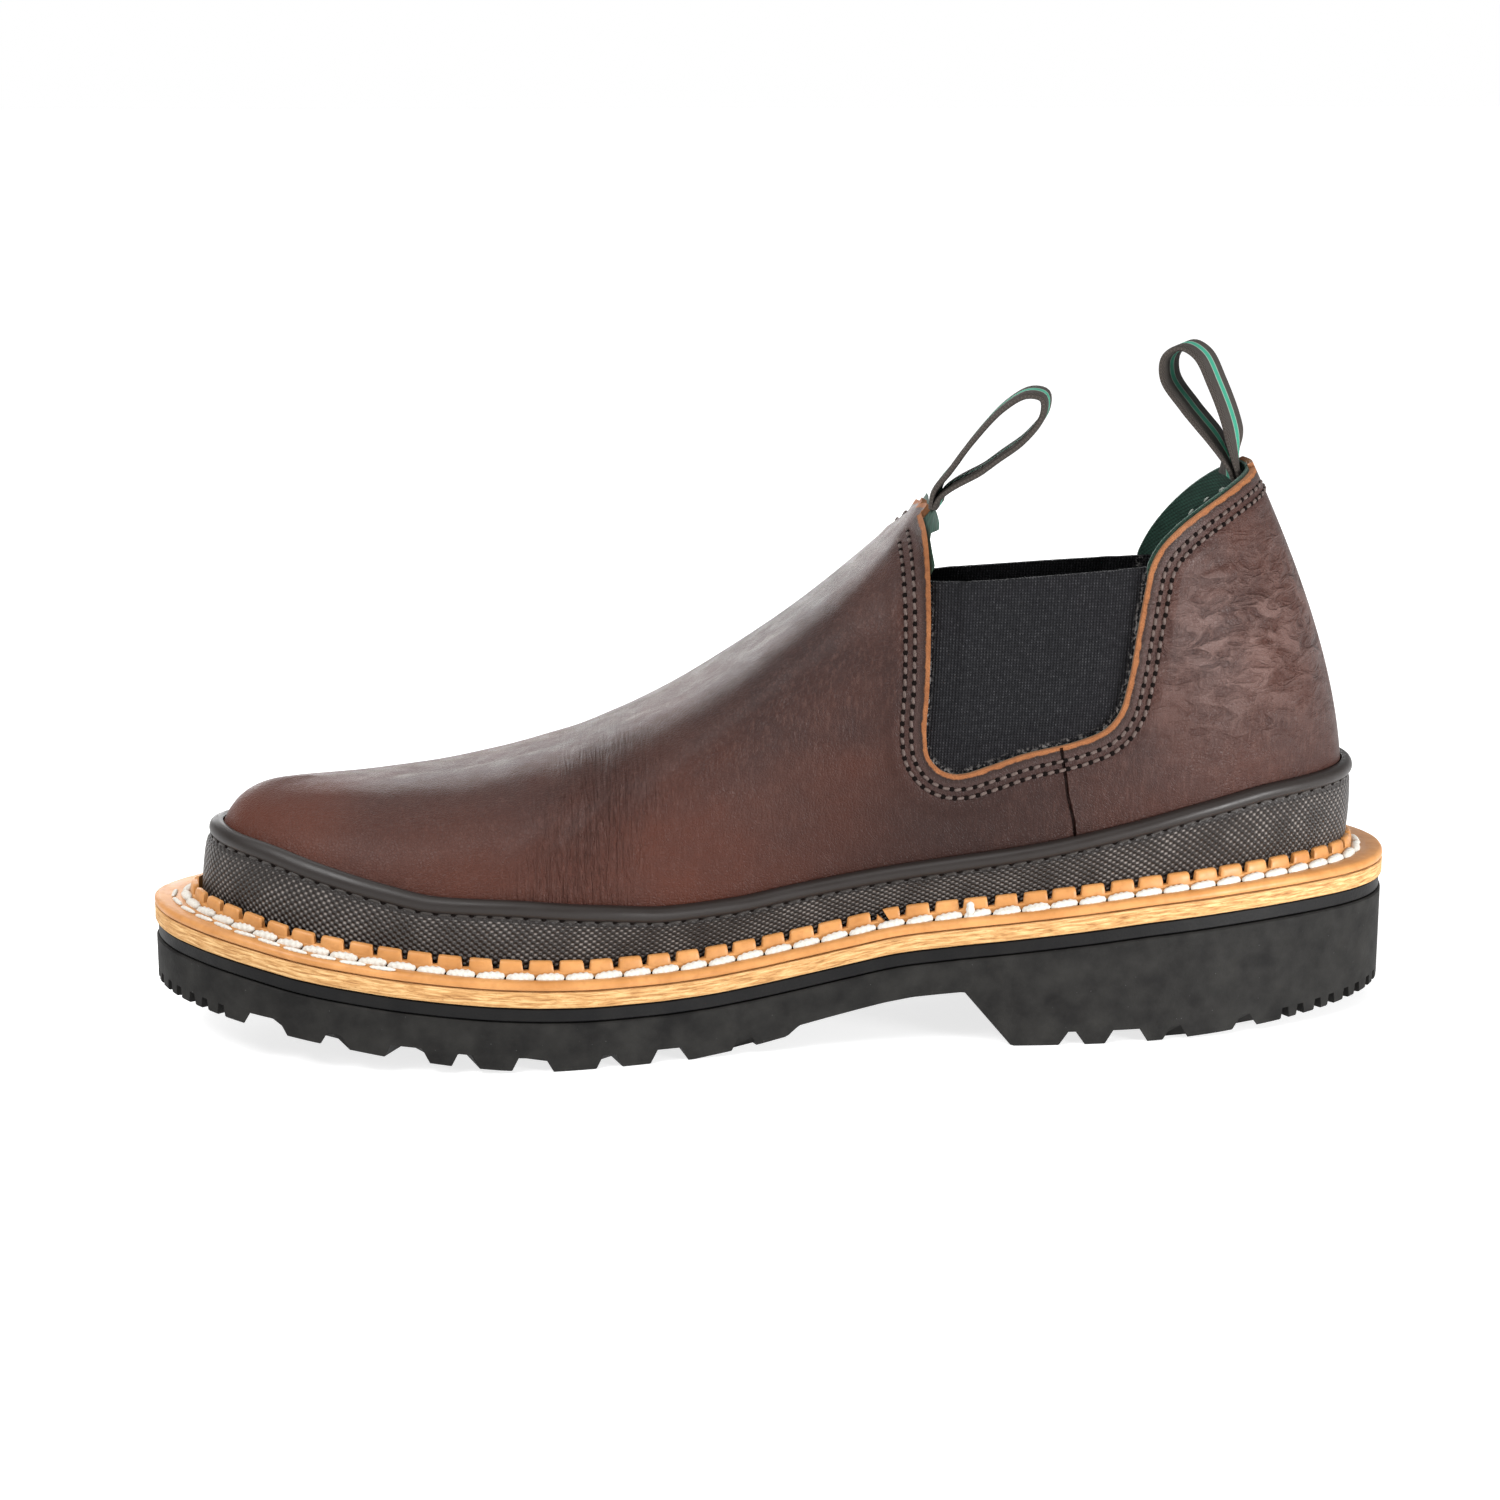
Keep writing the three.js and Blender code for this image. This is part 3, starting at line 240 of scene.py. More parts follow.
# Outline of the sole: HALF steps over the inner side from heel to toe, HALF back over the outer side.
HALF = 380
inner_rows = [(x * LENGTH, a * WIDTH) for x, a, b in SOLE]
outer_rows = [(x * LENGTH, -b * WIDTH) for x, a, b in SOLE[1:-1]][::-1]
outline = through(inner_rows + outer_rows, closed=True, each=30)
outline = closed(outline)
back = int(np.argmin(outline[:-1, 0]))
outline = np.vstack([outline[back:-1], outline[:back + 1]])
front = int(np.argmax(outline[:, 0]))
ring = np.vstack([evenly(outline[:front + 1], HALF + 1)[:-1], evenly(outline[front:], HALF + 1)[:-1]])
RING = len(ring)
step = np.roll(ring, -2, 0) - np.roll(ring, 2, 0)
ring_out = unit(np.stack([step[:, 1], -step[:, 0]], 1))
if ring_out[HALF // 2, 1] < 0:
    ring_out = -ring_out
ring_along = lengths(closed(ring))
CENTRE = np.append((ring.min(0) + ring.max(0)) / 2, 0)


def placed(points):
    """Millimetres from the heel to metres in the row frame."""
    return (np.asarray(points, float) - CENTRE) / 1000


def inset(distance):
    """The outline drawn in by a distance, or by a distance for each place."""
    d = distance(ring[:, 0]) if callable(distance) else np.full(RING, float(distance))
    return ring - ring_out * d[:, None]


# Meshes

def make_mesh(name, points, faces, materials, uv=None, kinds=None, angle=40):
    """An object from points in millimetres.

    uv gives a pair of millimetres for each face corner, and kinds the number of each face's material.
    """
    mesh = bpy.data.meshes.new(name)
    mesh.from_pydata([tuple(p) for p in placed(points)], [], [tuple(int(i) for i in f) for f in faces])
    for m in materials:
        mesh.materials.append(m)
    if kinds is not None:
        mesh.polygons.foreach_set("material_index", np.asarray(kinds, np.int32))
    if uv is not None:
        layer = mesh.uv_layers.new(name="surface")
        layer.data.foreach_set("uv", np.asarray(uv, np.float32).ravel())
    mesh.validate()
    finish_mesh(mesh, angle)
    obj = bpy.data.objects.new(name, mesh)
    scene.collection.objects.link(obj)
    return obj


def finish_mesh(mesh, angle):
    mesh.polygons.foreach_set("use_smooth", [True] * len(mesh.polygons))
    mesh.set_sharp_from_angle(angle=math.radians(angle))
    mesh.update()


def tube_faces(rows, count, closed_rows=True, closed_count=True):
    """Quads over a grid of rows by count points, with the corners' row and column numbers."""
    r, c = np.meshgrid(np.arange(rows if closed_rows else rows - 1),
                       np.arange(count if closed_count else count - 1), indexing="ij")
    first = np.stack([r.ravel(), c.ravel()], 1)
    corners = np.stack([first, first + [0, 1], first + [1, 1], first + [1, 0]], 1)
    index = (corners[..., 0] % rows) * count + corners[..., 1] % count
    return index, corners


def sweep(name, levels, material):
    """A closed band: levels is rows by ring points by xyz, one row for each point of the profile."""
    rows, count = levels.shape[:2]
    index, corners = tube_faces(rows, count)
    u, v = lengths(closed(levels.mean(0))), lengths(closed(levels[:, count // 4]))
    uv = np.stack([u[corners[..., 1]], v[corners[..., 0]]], -1).reshape(-1, 2)
    return make_mesh(name, levels.reshape(-1, 3), index, [material], uv)


def capped_tube(name, grid, material, run=None, widths=None):
    """A closed tube with flat ends: grid is the points round it by the points along it by xyz.

    Where run and widths are given, they are the texture's places along it and round it.
    """
    rows, count = grid.shape[:2]
    index, corners = tube_faces(rows, count, closed_count=False)
    faces = [tuple(q) for q in index]
    faces += [tuple(r * count for r in range(rows)), tuple((r + 1) * count - 1 for r in range(rows))[::-1]]
    uv = None
    if run is not None:
        uv = np.stack([run[corners[..., 1]], widths[corners[..., 0]]], -1).reshape(-1, 2)
        uv = np.vstack([uv, np.zeros((2 * rows, 2))])
    return turned_out(make_mesh(name, grid.reshape(-1, 3), faces, [material], uv))


def turned_out(obj):
    """The same closed mesh with its faces looking outward."""
    mesh = obj.data
    volume = 0.0
    for p in mesh.polygons:
        a, *others = (mesh.vertices[i].co for i in p.vertices)
        for b, c in zip(others[:-1], others[1:]):
            volume += a.dot(b.cross(c))
    if volume < 0:
        mesh.flip_normals()
    return obj


def ring_level(distance, height):
    """One row of a sweep: the outline drawn in, at a height for each place."""
    p = inset(distance)
    z = height(p[:, 0]) if callable(height) else np.full(RING, float(height))
    return np.column_stack([p, z])


def plate(name, wall, material, across=8, angle=40):
    """A flat layer: wall is its rows from the top's edge down to the underside's edge."""
    rows = len(wall)
    points = [np.vstack(wall)]
    index, corners = tube_faces(rows, RING, closed_rows=False)
    faces = [index[:, ::-1]]
    uvs = [np.stack([ring_along[corners[..., 1]], corners[..., 0]], -1)[:, ::-1]]
    start = rows * RING
    inner = np.arange(1, HALF)
    outer = (RING - inner) % RING
    share = np.linspace(0, 1, across + 1)[None, 1:-1, None]
    for row, turn in ((0, 1), (rows - 1, -1)):
        edge = wall[row]
        middle = edge[inner][:, None] * (1 - share) + edge[outer][:, None] * share
        xs, first = np.unique(edge[:, 0], return_index=True)
        middle[..., 2] = np.interp(middle[..., 0], xs, edge[first, 2])
        points.append(middle.reshape(-1, 3))
        number = start + np.arange(len(inner) * (across - 1)).reshape(-1, across - 1)
        start += number.size
        grid = np.column_stack([row * RING + inner, number, row * RING + outer])
        squares = np.stack([grid[:-1, :-1], grid[1:, :-1], grid[1:, 1:], grid[:-1, 1:]], -1).reshape(-1, 4)
        fans = np.array([(tip, line[i], line[i + 1])
                         for tip, line in ((row * RING, grid[0]), (row * RING + HALF, grid[-1][::-1]))
                         for i in range(across)])
        for group in (squares[:, ::turn], fans[:, ::turn]):
            faces.append(group)
            uvs.append(np.vstack(points)[group][..., :2])
    faces = [tuple(f) for group in faces for f in group]
    uv = np.vstack([u.reshape(-1, 2) for u in uvs])
    return make_mesh(name, np.vstack(points), faces, [material], uv, angle=angle)


def joined(name, groups, angle=60):
    """One mesh from many small ones: groups gives each material its list of (points, faces)."""
    points, faces, kinds, start = [], [], [], 0
    for kind, parts in enumerate(groups.values()):
        for p, f in parts:
            points.append(p)
            faces += [tuple(int(k) + start for k in face) for face in f]
            kinds += [kind] * len(f)
            start += len(p)
    return make_mesh(name, np.vstack(points), faces, list(groups), kinds=kinds, angle=angle)


def bar_faces(stations, sides):
    """Quads round a bar of stations by sides points."""
    return [(a, a + sides, b + sides, b) for i in range(0, (stations - 1) * sides, sides)
            for a, b in zip(range(i, i + sides), (*range(i + 1, i + sides), i))]


def capsule(length, width, height, sides=8, rings=6, twist=0.0):
    """A stitch along X: a rounded bar, with a two-strand twist if asked."""
    points = []
    for x in np.linspace(-0.5, 0.5, rings + 1):
        taper = max(0.0, 1 - abs(2 * x) ** 3.2) ** 0.5
        for j in range(sides):
            a = 2 * math.pi * j / sides
            swell = taper * (1 + (0.1 * math.cos(2 * (a - twist * x)) if twist else 0)) / 2
            points.append((x * length, math.cos(a) * width * swell, math.sin(a) * height * swell))
    return np.array(points), bar_faces(rings + 1, sides)


def along_line(line, normals, template, pitch, sink=0.0, start=0.0, tilt=0.0, jitter=0.0):
    """Copies of a template along a line on a surface, one each pitch."""
    run = lengths(line)
    rng = np.random.default_rng(7)
    points, faces = template

    def at(d, values):
        return np.array([np.interp(d, run, values[:, k]) for k in range(3)])

    out = []
    for i in range(int((run[-1] - start) // pitch)):
        d = start + (i + 0.5) * pitch
        t = unit(at(d + 0.5, line) - at(d - 0.5, line))
        n = at(d, normals)
        n = unit(n - t * (n @ t))
        b = np.cross(n, t)
        turn = tilt + (rng.random() - 0.5) * jitter
        c, s = math.cos(turn), math.sin(turn)
        out.append((at(d, line) + n * sink + points @ np.array([t * c + b * s, b * c - t * s, n]), faces))
    return out


def cut(obj, cutters, operation="DIFFERENCE"):
    """Cuts an object by others, which then go."""
    group = bpy.data.collections.new("cutters")
    for c in cutters:
        scene.collection.objects.unlink(c)
        group.objects.link(c)
    mod = obj.modifiers.new("cut", "BOOLEAN")
    mod.operation, mod.operand_type, mod.collection, mod.solver = operation, "COLLECTION", group, "MANIFOLD"
    apply_modifiers(obj)
    for c in cutters:
        bpy.data.objects.remove(c)
    bpy.data.collections.remove(group)
    return obj


def apply_modifiers(obj):
    graph = bpy.context.evaluated_depsgraph_get()
    mesh = bpy.data.meshes.new_from_object(obj.evaluated_get(graph))
    old = obj.data
    obj.modifiers.clear()
    obj.data = mesh
    mesh.name = old.name
    bpy.data.meshes.remove(old)


def corners_of(obj):
    co = np.zeros(len(obj.data.vertices) * 3, np.float32)
    obj.data.vertices.foreach_get("co", co)
    return co.reshape(-1, 3) * 1000 + CENTRE


def set_attribute(obj, name, values):
    a = obj.data.attributes.new(name, "FLOAT", "POINT")
    a.data.foreach_set("value", np.asarray(values, np.float32))


# Face of the upper

def rib_column(i, scale=1.0, first=None, last=None):
    """A column of the ribs' table, carried on past both ends as its own mirror image."""
    k, v = column(RIBS, 0), column(RIBS, i, scale)
    before = [v[j] if first is None else 2 * first - v[j] for j in (2, 1)]
    after = [v[j] if last is None else 2 * last - v[j] for j in (-2, -3)]
    return smooth([-k[2], -k[1], *k, 2 - k[-2], 2 - k[-3]], before + v + after)


rib_x, rib_y = rib_column(1, LENGTH), rib_column(2, WIDTH, first=0)
rib_z = rib_column(3, HEIGHT)
rib_turn = rib_column(4, math.pi / 180, first=0, last=math.pi)
rib_up, rib_out = rib_column(5, HEIGHT), rib_column(6, WIDTH)
rib_over, rib_drop = rib_column(7, WIDTH), rib_column(8, HEIGHT)
ridge_shift = smooth([0, 0.5, 0.62, 1], [0, 0, 0.022 * WIDTH, 0.03 * WIDTH])
TAB = 0.5  # where the ridge starts: the middle of the front tab

feather = inset(ledge)
feather_back, feather_front = int(np.argmin(feather[:, 0])), int(np.argmax(feather[:, 0]))
feather_sides = {}
for side in (1, -1):
    steps = side * (feather_front - feather_back) % RING
    feather_sides[side] = [(feather_back + side * i) % RING for i in range(steps + 1)]

K = np.unique(np.concatenate([
    np.linspace(*span) for span in ((0, 0.12, 30), (0.12, 0.36, 50), (0.36, TAB, 46), (TAB, 0.58, 22),
                                    (0.58, 0.88, 66), (0.88, 1, 32))]).round(6))
SIDE = len(K) - 1
ROWS = 72  # steps from the foot to the collar


def ease(t):
    """Smooth step from 0 to 1."""
    t = np.clip(t, 0, 1)
    return t * t * (3 - 2 * t)


def blurred(values, reach):
    """Values along the ribs, each the mean over its own reach."""
    weight = np.exp(-((K[:, None] - K[None]) / (reach + 1e-4)[:, None]) ** 2 / 2) * np.gradient(K)[None]
    return weight @ values / weight.sum(1)[:, None]


def eased(values):
    """Values along the ribs with short waves taken out, but not at the two ends."""
    return blurred(values, 0.03 * ease(np.minimum(K, 1 - K) / 0.14))


def ribs_of(side):
    """Points of one side's face, ribs by rows by xyz."""
    idx = feather_sides[side]
    p, n = feather[idx], ring_out[idx]
    run = lengths(p) / lengths(p)[-1]
    foot = np.column_stack([np.interp(K, run, p[:, 0]), np.interp(K, run, p[:, 1])])
    out = unit(np.column_stack([np.interp(K, run, n[:, 0]), np.interp(K, run, n[:, 1])]))
    base = footing(foot[:, 0]) + GAP
    p0 = np.column_stack([foot, base])
    p1 = np.column_stack([foot + out * rib_out(K)[:, None], base + rib_up(K)])
    p3 = np.column_stack([rib_x(K), side * rib_y(K) + ridge_shift(K), rib_z(K)])
    wide = 1.0 if side > 0 else 1 + 0.14 * np.sin(math.pi * np.clip((K - 0.45) / 0.55, 0, 1))
    over, a = rib_over(K) * wide, rib_turn(K)
    p2 = p3 + np.column_stack([-np.cos(a) * over, side * np.sin(a) * over, -rib_drop(K)])
    p1, p2 = p0 + eased(p1 - p0), p3 + eased(p2 - p3)
    t = np.linspace(0, 1, ROWS + 1)[None, :, None]
    p0, p1, p2, p3 = (p[:, None, :] for p in (p0, p1, p2, p3))
    rows = (1 - t) ** 3 * p0 + 3 * (1 - t) ** 2 * t * p1 + 3 * (1 - t) * t * t * p2 + t ** 3 * p3
    for j in range(1, ROWS):
        u = j / ROWS
        rows[:, j] = blurred(rows[:, j], 0.05 * ease(1 - abs(K - TAB) / 0.2) * min(1, 3 * u, 2.5 * (1 - u)))
    return rows


inner_side, outer_side = ribs_of(1), ribs_of(-1)
columns = np.concatenate([inner_side, outer_side[-2:0:-1]])
COLUMNS = len(columns)
tab_index = int(np.argmin(abs(K - TAB)))
mirror_of = {SIDE + i: SIDE - i for i in range(1, SIDE)}  # a column of the outer side and its twin

ids = np.arange(COLUMNS * (ROWS + 1)).reshape(COLUMNS, ROWS + 1)
for c, twin in mirror_of.items():
    if twin >= tab_index:
        ids[c, ROWS] = ids[twin, ROWS]
used, packed = np.unique(ids, return_inverse=True)
ids = packed.reshape(ids.shape)
face_points = columns.reshape(-1, 3)[used]
collar_ring = [ids[c, ROWS] for c in range(COLUMNS)
               if c <= tab_index or (c > SIDE and mirror_of[c] < tab_index)]

beside = np.roll(ids, -1, axis=0)
quads = np.stack([ids[:, :-1], beside[:, :-1], beside[:, 1:], ids[:, 1:]], -1).reshape(-1, 4)
face_quads = [tuple(dict.fromkeys(q)) for q in quads]  # a corner that two points share is kept once


def normals_of(points):
    p = points[quads]
    n = np.cross(p[:, 2] - p[:, 0], p[:, 3] - p[:, 1])
    total = np.zeros_like(points)
    for i in range(4):
        np.add.at(total, quads[:, i], n)
    total = unit(total)
    return -total if total[ids[SIDE // 2, ROWS // 2], 1] < 0 else total


def calmed(points, share, rounds=40):
    """Points drawn toward the mean of their neighbours, each by its share."""
    a, b = quads.ravel(), np.roll(quads, -1, axis=1).ravel()
    count = np.bincount(a, minlength=len(points)) + np.bincount(b, minlength=len(points))
    for _ in range(rounds):
        total = np.zeros_like(points)
        np.add.at(total, a, points[b])
        np.add.at(total, b, points[a])
        points = points + 0.5 * share[:, None] * (total / count[:, None] - points)
    return points


toe_top = ease((face_points[:, 0] - 258) / 14) * ease((303 - face_points[:, 0]) / 6)
toe_top *= ease((18 - abs(face_points[:, 1])) / 7) * ease((face_points[:, 2] - 46) / 6)
face_points = calmed(face_points, toe_top)
face_normals = normals_of(face_points)


# Materials

def set_stops(ramp, stops):
    """The stops of a colour ramp, each a place and a colour or grey."""
    elements = ramp.color_ramp.elements
    while len(elements) < len(stops):
        elements.new(0.5)
    for e, (at, colour) in zip(elements, stops):
        e.position = at
        e.color = (*colour, 1) if isinstance(colour, tuple) else (colour, colour, colour, 1)


class Look:
    """A material's nodes, with short calls for the ones used most."""

    def __init__(self, name, **shader):
        self.material = bpy.data.materials.new(name)
        self.material.use_nodes = True
        self.tree = self.material.node_tree
        self.shader = self.tree.nodes["Principled BSDF"]
        self.feed(self.shader, **shader)
        self.place = self.node("ShaderNodeTexCoord").outputs["Object"]
        self.surface = self.node("ShaderNodeTexCoord").outputs["UV"]

    def node(self, kind, **settings):
        n = self.tree.nodes.new(kind)
        for key, value in settings.items():
            setattr(n, key, value)
        return n

    def put(self, socket, value):
        """Sets a socket to a number, a vector or a colour, or links another node's output to it."""
        if isinstance(value, bpy.types.NodeSocket):
            self.tree.links.new(value, socket)
        elif socket.type == "RGBA":
            socket.default_value = (*value, 1)
        else:
            socket.default_value = value

    def feed(self, node, **values):
        for key, value in values.items():
            self.put(node.inputs[key.replace("_", " ")], value)
        return node

    def scaled(self, vector, x, y, z, turn=0.0):
        """Texture coordinates stretched by x, y and z, and turned across the shoe."""
        return self.feed(self.node("ShaderNodeMapping"), Vector=vector, Rotation=(0, turn, 0),
                         Scale=(x, y, z)).outputs["Vector"]

    def noise(self, scale, detail=4.0, rough=0.55, vector=None, distortion=0.0):
        return self.feed(self.node("ShaderNodeTexNoise"), Vector=vector or self.place, Scale=scale,
                         Detail=detail, Roughness=rough, Distortion=distortion).outputs["Fac"]

    def cells(self, scale, feature="F1"):
        return self.feed(self.node("ShaderNodeTexVoronoi", feature=feature), Vector=self.place,
                         Scale=scale).outputs["Distance"]

    def ramp(self, value, *stops):
        n = self.node("ShaderNodeValToRGB")
        self.put(n.inputs["Fac"], value)
        set_stops(n, stops)
        return n.outputs["Color"]

    def between(self, value, low, high):
        """From low to high over the middle of a noise."""
        return self.ramp(value, (0.3, low), (0.7, high))

    def mix(self, share, a, b):
        n = self.node("ShaderNodeMix", data_type="RGBA")
        for i, value in ((0, share), (6, a), (7, b)):
            self.put(n.inputs[i], value)
        return n.outputs[2]

    def calc(self, operation, a, b=0.0):
        n = self.node("ShaderNodeMath", operation=operation)
        self.put(n.inputs[0], a)
        self.put(n.inputs[1], b)
        return n.outputs[0]

    def times(self, product, *values):
        for value in values:
            product = self.calc("MULTIPLY", product, value)
        return product

    def plus(self, total, *values):
        for value in values:
            total = self.calc("ADD", total, value)
        return total

    def wave(self, value, pitch):
        """A sine that repeats each pitch."""
        return self.calc("SINE", self.times(value, 2 * math.pi / pitch))

    def axes(self, vector):
        return self.feed(self.node("ShaderNodeSeparateXYZ"), Vector=vector).outputs

    def attribute(self, name):
        return self.node("ShaderNodeAttribute", attribute_name=name).outputs["Fac"]

    def bump(self, height, strength, distance, under=None):
        n = self.feed(self.node("ShaderNodeBump"), Height=height, Strength=strength, Distance=distance)
        if under is not None:
            self.put(n.inputs["Normal"], under)
        return n.outputs["Normal"]

    def done(self, colour, rough, normal=None):
        self.feed(self.shader, Base_Color=colour, Roughness=rough)
        if normal is not None:
            self.put(self.shader.inputs["Normal"], normal)
        return self.material


def leather_material():
    look = Look("waxed_leather", Coat_Weight=0.04, Coat_Roughness=0.3, Specular_IOR_Level=0.17)
    broad, cloud, fine = look.noise(15, 3, 0.5), look.noise(55, 4, 0.6), look.noise(420, 3, 0.6)
    streak = look.noise(1.0, 4, 0.65, look.scaled(look.place, 1250, 1250, 230, turn=0.35))
    wrinkle_and_highlight = look.noise(1.0, 3, 0.55, look.scaled(look.place, 150, 150, 300), distortion=0.8)
    wrinkle_and_highlight = look.times(look.ramp(wrinkle_and_highlight, (0.36, 0.0), (0.6, 1.0)), look.attribute("wrinkled_and_highlit"))
    red = look.times(look.ramp(look.axes(look.place)[2], (0.052, 1.0), (0.078, 0.0)),
                     look.ramp(broad, (0.4, 0.1), (0.6, 0.5)))
    colour = look.ramp(broad, (0.34, (0.03, 0.0125, 0.0098)), (0.5, (0.05, 0.018, 0.0125)),
                       (0.68, (0.08, 0.0225, 0.012)))
    for share, tint in (
            (look.ramp(cloud, (0.38, 0.0), (0.68, 0.65)), (0.025, 0.012, 0.0108)),
            (look.ramp(fine, (0.45, 0.0), (0.75, 0.22)), (0.075, 0.036, 0.029)),
            (look.ramp(streak, (0.5, 0.0), (0.74, 0.4)), (0.115, 0.06, 0.048)),
            (red, (0.072, 0.018, 0.009)),
            # painted shade: darker patches below each gore and high on the vamp
            (look.times(look.attribute("painted_shade_patches"), 0.62), (0.017, 0.0072, 0.0058)),
            # painted light: lighter, redder patches low on the vamp's front and on the toe, where light
            # falls
            (look.times(look.attribute("painted_light_patches"), 0.48), (0.092, 0.027, 0.0155)),
            # painted highlight: a lighter colour on the ridges of the heel quarter's wrinkles, where light
            # catches them
            (look.times(wrinkle_and_highlight, 0.62), (0.15, 0.09, 0.078))):
        colour = look.mix(share, colour, tint)
    # the cut edge: raw and tan, then burnt dark, then a worn rim; edge is the distance in millimetres
    edge = look.attribute("edge")
    torn = look.plus(edge, look.times(look.calc("SUBTRACT", look.noise(380, 3), 0.5), 1.1))
    torn = look.calc("DIVIDE", torn, 4.0)
    raw = look.ramp(torn, (0.22, 1.0), (0.3, 0.0))
    burnt = look.ramp(torn, (0.3, 1.0), (0.62, 0.0))
    rim = look.ramp(look.calc("DIVIDE", edge, 10.0), (0.26, 1.0), (0.62, 0.0))
    colour = look.mix(look.times(rim, 0.4), colour, (0.06, 0.038, 0.034))
    colour = look.mix(look.times(burnt, 0.85), colour, (0.015, 0.0065, 0.0045))
    colour = look.mix(raw, colour, look.mix(look.noise(500, 3), (0.33, 0.135, 0.052), (0.15, 0.048, 0.017)))
    rough = look.mix(raw, look.between(look.noise(180, 3), 0.4, 0.54), (0.85, 0.85, 0.85))
    grain = look.ramp(look.cells(1250, "DISTANCE_TO_EDGE"), (0.0, 0.0), (0.18, 1.0))
    height = look.plus(look.times(grain, 0.35), look.times(look.noise(1500, 2, 0.5), 0.3),
                       look.times(streak, 0.5))
    lines = look.noise(1.0, 3, 0.6, look.scaled(look.place, 900, 60, 110, turn=-0.72), distortion=0.5)
    lines = look.times(look.ramp(lines, (0.42, 0.0), (0.62, 1.0)), look.attribute("flexed"))
    normal = look.bump(height, 0.5, 0.0005)
    normal = look.bump(lines, 0.9, 0.0006, normal)
    normal = look.bump(wrinkle_and_highlight, 0.85, 0.0014, normal)
    return look.done(colour, rough, look.bump(cloud, 0.15, 0.002, normal))


def edge_material():
    look = Look("raw_leather_edge")
    colour = look.mix(look.noise(500, 3), (0.38, 0.165, 0.068), (0.17, 0.056, 0.02))
    return look.done(colour, look.between(look.noise(400), 0.75, 0.95),
                     look.bump(look.noise(1600, 3), 0.6, 0.0004))


def cloth_material(name, dark, light, pitch, rough=0.9):
    """Plain woven cloth."""
    look = Look(name, Sheen_Weight=0.15)
    x, y, z = look.axes(look.place)
    crossing = look.times(look.wave(x, pitch), look.wave(look.plus(z, look.times(y, 0.5)), pitch))
    weave = look.plus(look.times(crossing, 0.5), 0.5)
    colour = look.mix(look.times(weave, look.noise(300, 3)), dark, light)
    return look.done(colour, look.between(look.noise(500), rough - 0.08, rough),
                     look.bump(weave, 0.5, 0.0002))


def gore_material():
    look = Look("ribbed_elastic", Specular_IOR_Level=0.15)
    x, _, z = look.axes(look.place)
    rib = look.wave(look.plus(x, look.times(z, 0.06)), 0.00075)
    row = look.wave(look.plus(z, look.times(rib, 0.00012)), 0.0007)
    weave = look.plus(look.times(rib, 0.32), look.plus(look.times(row, 0.2), 0.5))
    colour = look.ramp(look.times(weave, look.noise(900, 3, 0.7)), (0.12, (0.004, 0.004, 0.005)),
                       (0.45, (0.013, 0.013, 0.015)), (0.62, (0.045, 0.045, 0.048)))
    near = look.ramp(look.calc("DIVIDE", look.attribute("edge"), 10.0), (0.03, 1.0), (0.13, 0.0))
    frayed = look.times(near, look.ramp(look.noise(1100, 3), (0.5, 0.0), (0.6, 1.0)))
    colour = look.mix(frayed, colour, (0.17, 0.16, 0.155))
    return look.done(colour, look.between(look.noise(800), 0.7, 0.9), look.bump(weave, 0.7, 0.00035))


def rand_material():
    look = Look("knurled_rubber", Specular_IOR_Level=0.34)
    u, v, _ = look.axes(look.surface)
    knurl, wear_and_glint = look.attribute("knurl"), look.noise(120, 3)
    slant, pitch = look.times(v, 1.7), 2.05
    waves = look.wave(look.plus(u, slant), pitch), look.wave(look.calc("SUBTRACT", u, slant), pitch)
    pyramid = look.times(look.plus(*waves, 2.0), 0.25)
    raised = look.times(pyramid, knurl)
    # painted highlights and shade: pale glints on the knurl's tips and dark gaps between them; the noise
    # makes the glints uneven and also varies the roughness
    colour = look.ramp(look.times(raised, look.between(wear_and_glint, 0.6, 1.0)), (0.0, (0.0105, 0.0075, 0.0065)),
                       (0.5, (0.02, 0.015, 0.0128)), (0.9, (0.21, 0.185, 0.17)))
    colour = look.mix(knurl, (0.0175, 0.0135, 0.012), colour)
    return look.done(colour, look.between(wear_and_glint, 0.36, 0.48),
                     look.bump(look.noise(900, 2), 0.08, 0.0003, look.bump(raised, 1.0, 0.0006)))


def welt_material():
    look = Look("welt_tan", Coat_Weight=0.1, Coat_Roughness=0.3, Specular_IOR_Level=0.3)
    colour = look.between(look.noise(90, 4), (0.42, 0.175, 0.045), (0.6, 0.285, 0.095))
    colour = look.mix(look.ramp(look.noise(600, 3), (0.5, 0.0), (0.8, 0.35)), colour, (0.3, 0.11, 0.025))
    return look.done(colour, look.between(look.noise(300), 0.38, 0.55),
                     look.bump(look.noise(500, 3), 0.15, 0.0004))


def midsole_material():
    look = Look("cut_fibre", Specular_IOR_Level=0.2)
    streak = look.noise(1.0, 5, 0.65, look.scaled(look.surface, 0.16, 2.4, 1), distortion=0.4)
    pit = look.noise(1.0, 3, 0.6, look.scaled(look.surface, 0.9, 3.2, 1))
    colour = look.ramp(streak, (0.32, (0.26, 0.115, 0.036)), (0.48, (0.52, 0.28, 0.105)),
                       (0.66, (0.74, 0.5, 0.24)))
    colour = look.mix(look.ramp(pit, (0.58, 0.0), (0.72, 0.7)), colour, (0.3, 0.15, 0.055))
    return look.done(colour, look.between(pit, 0.6, 0.8), look.bump(streak, 0.5, 0.0005))


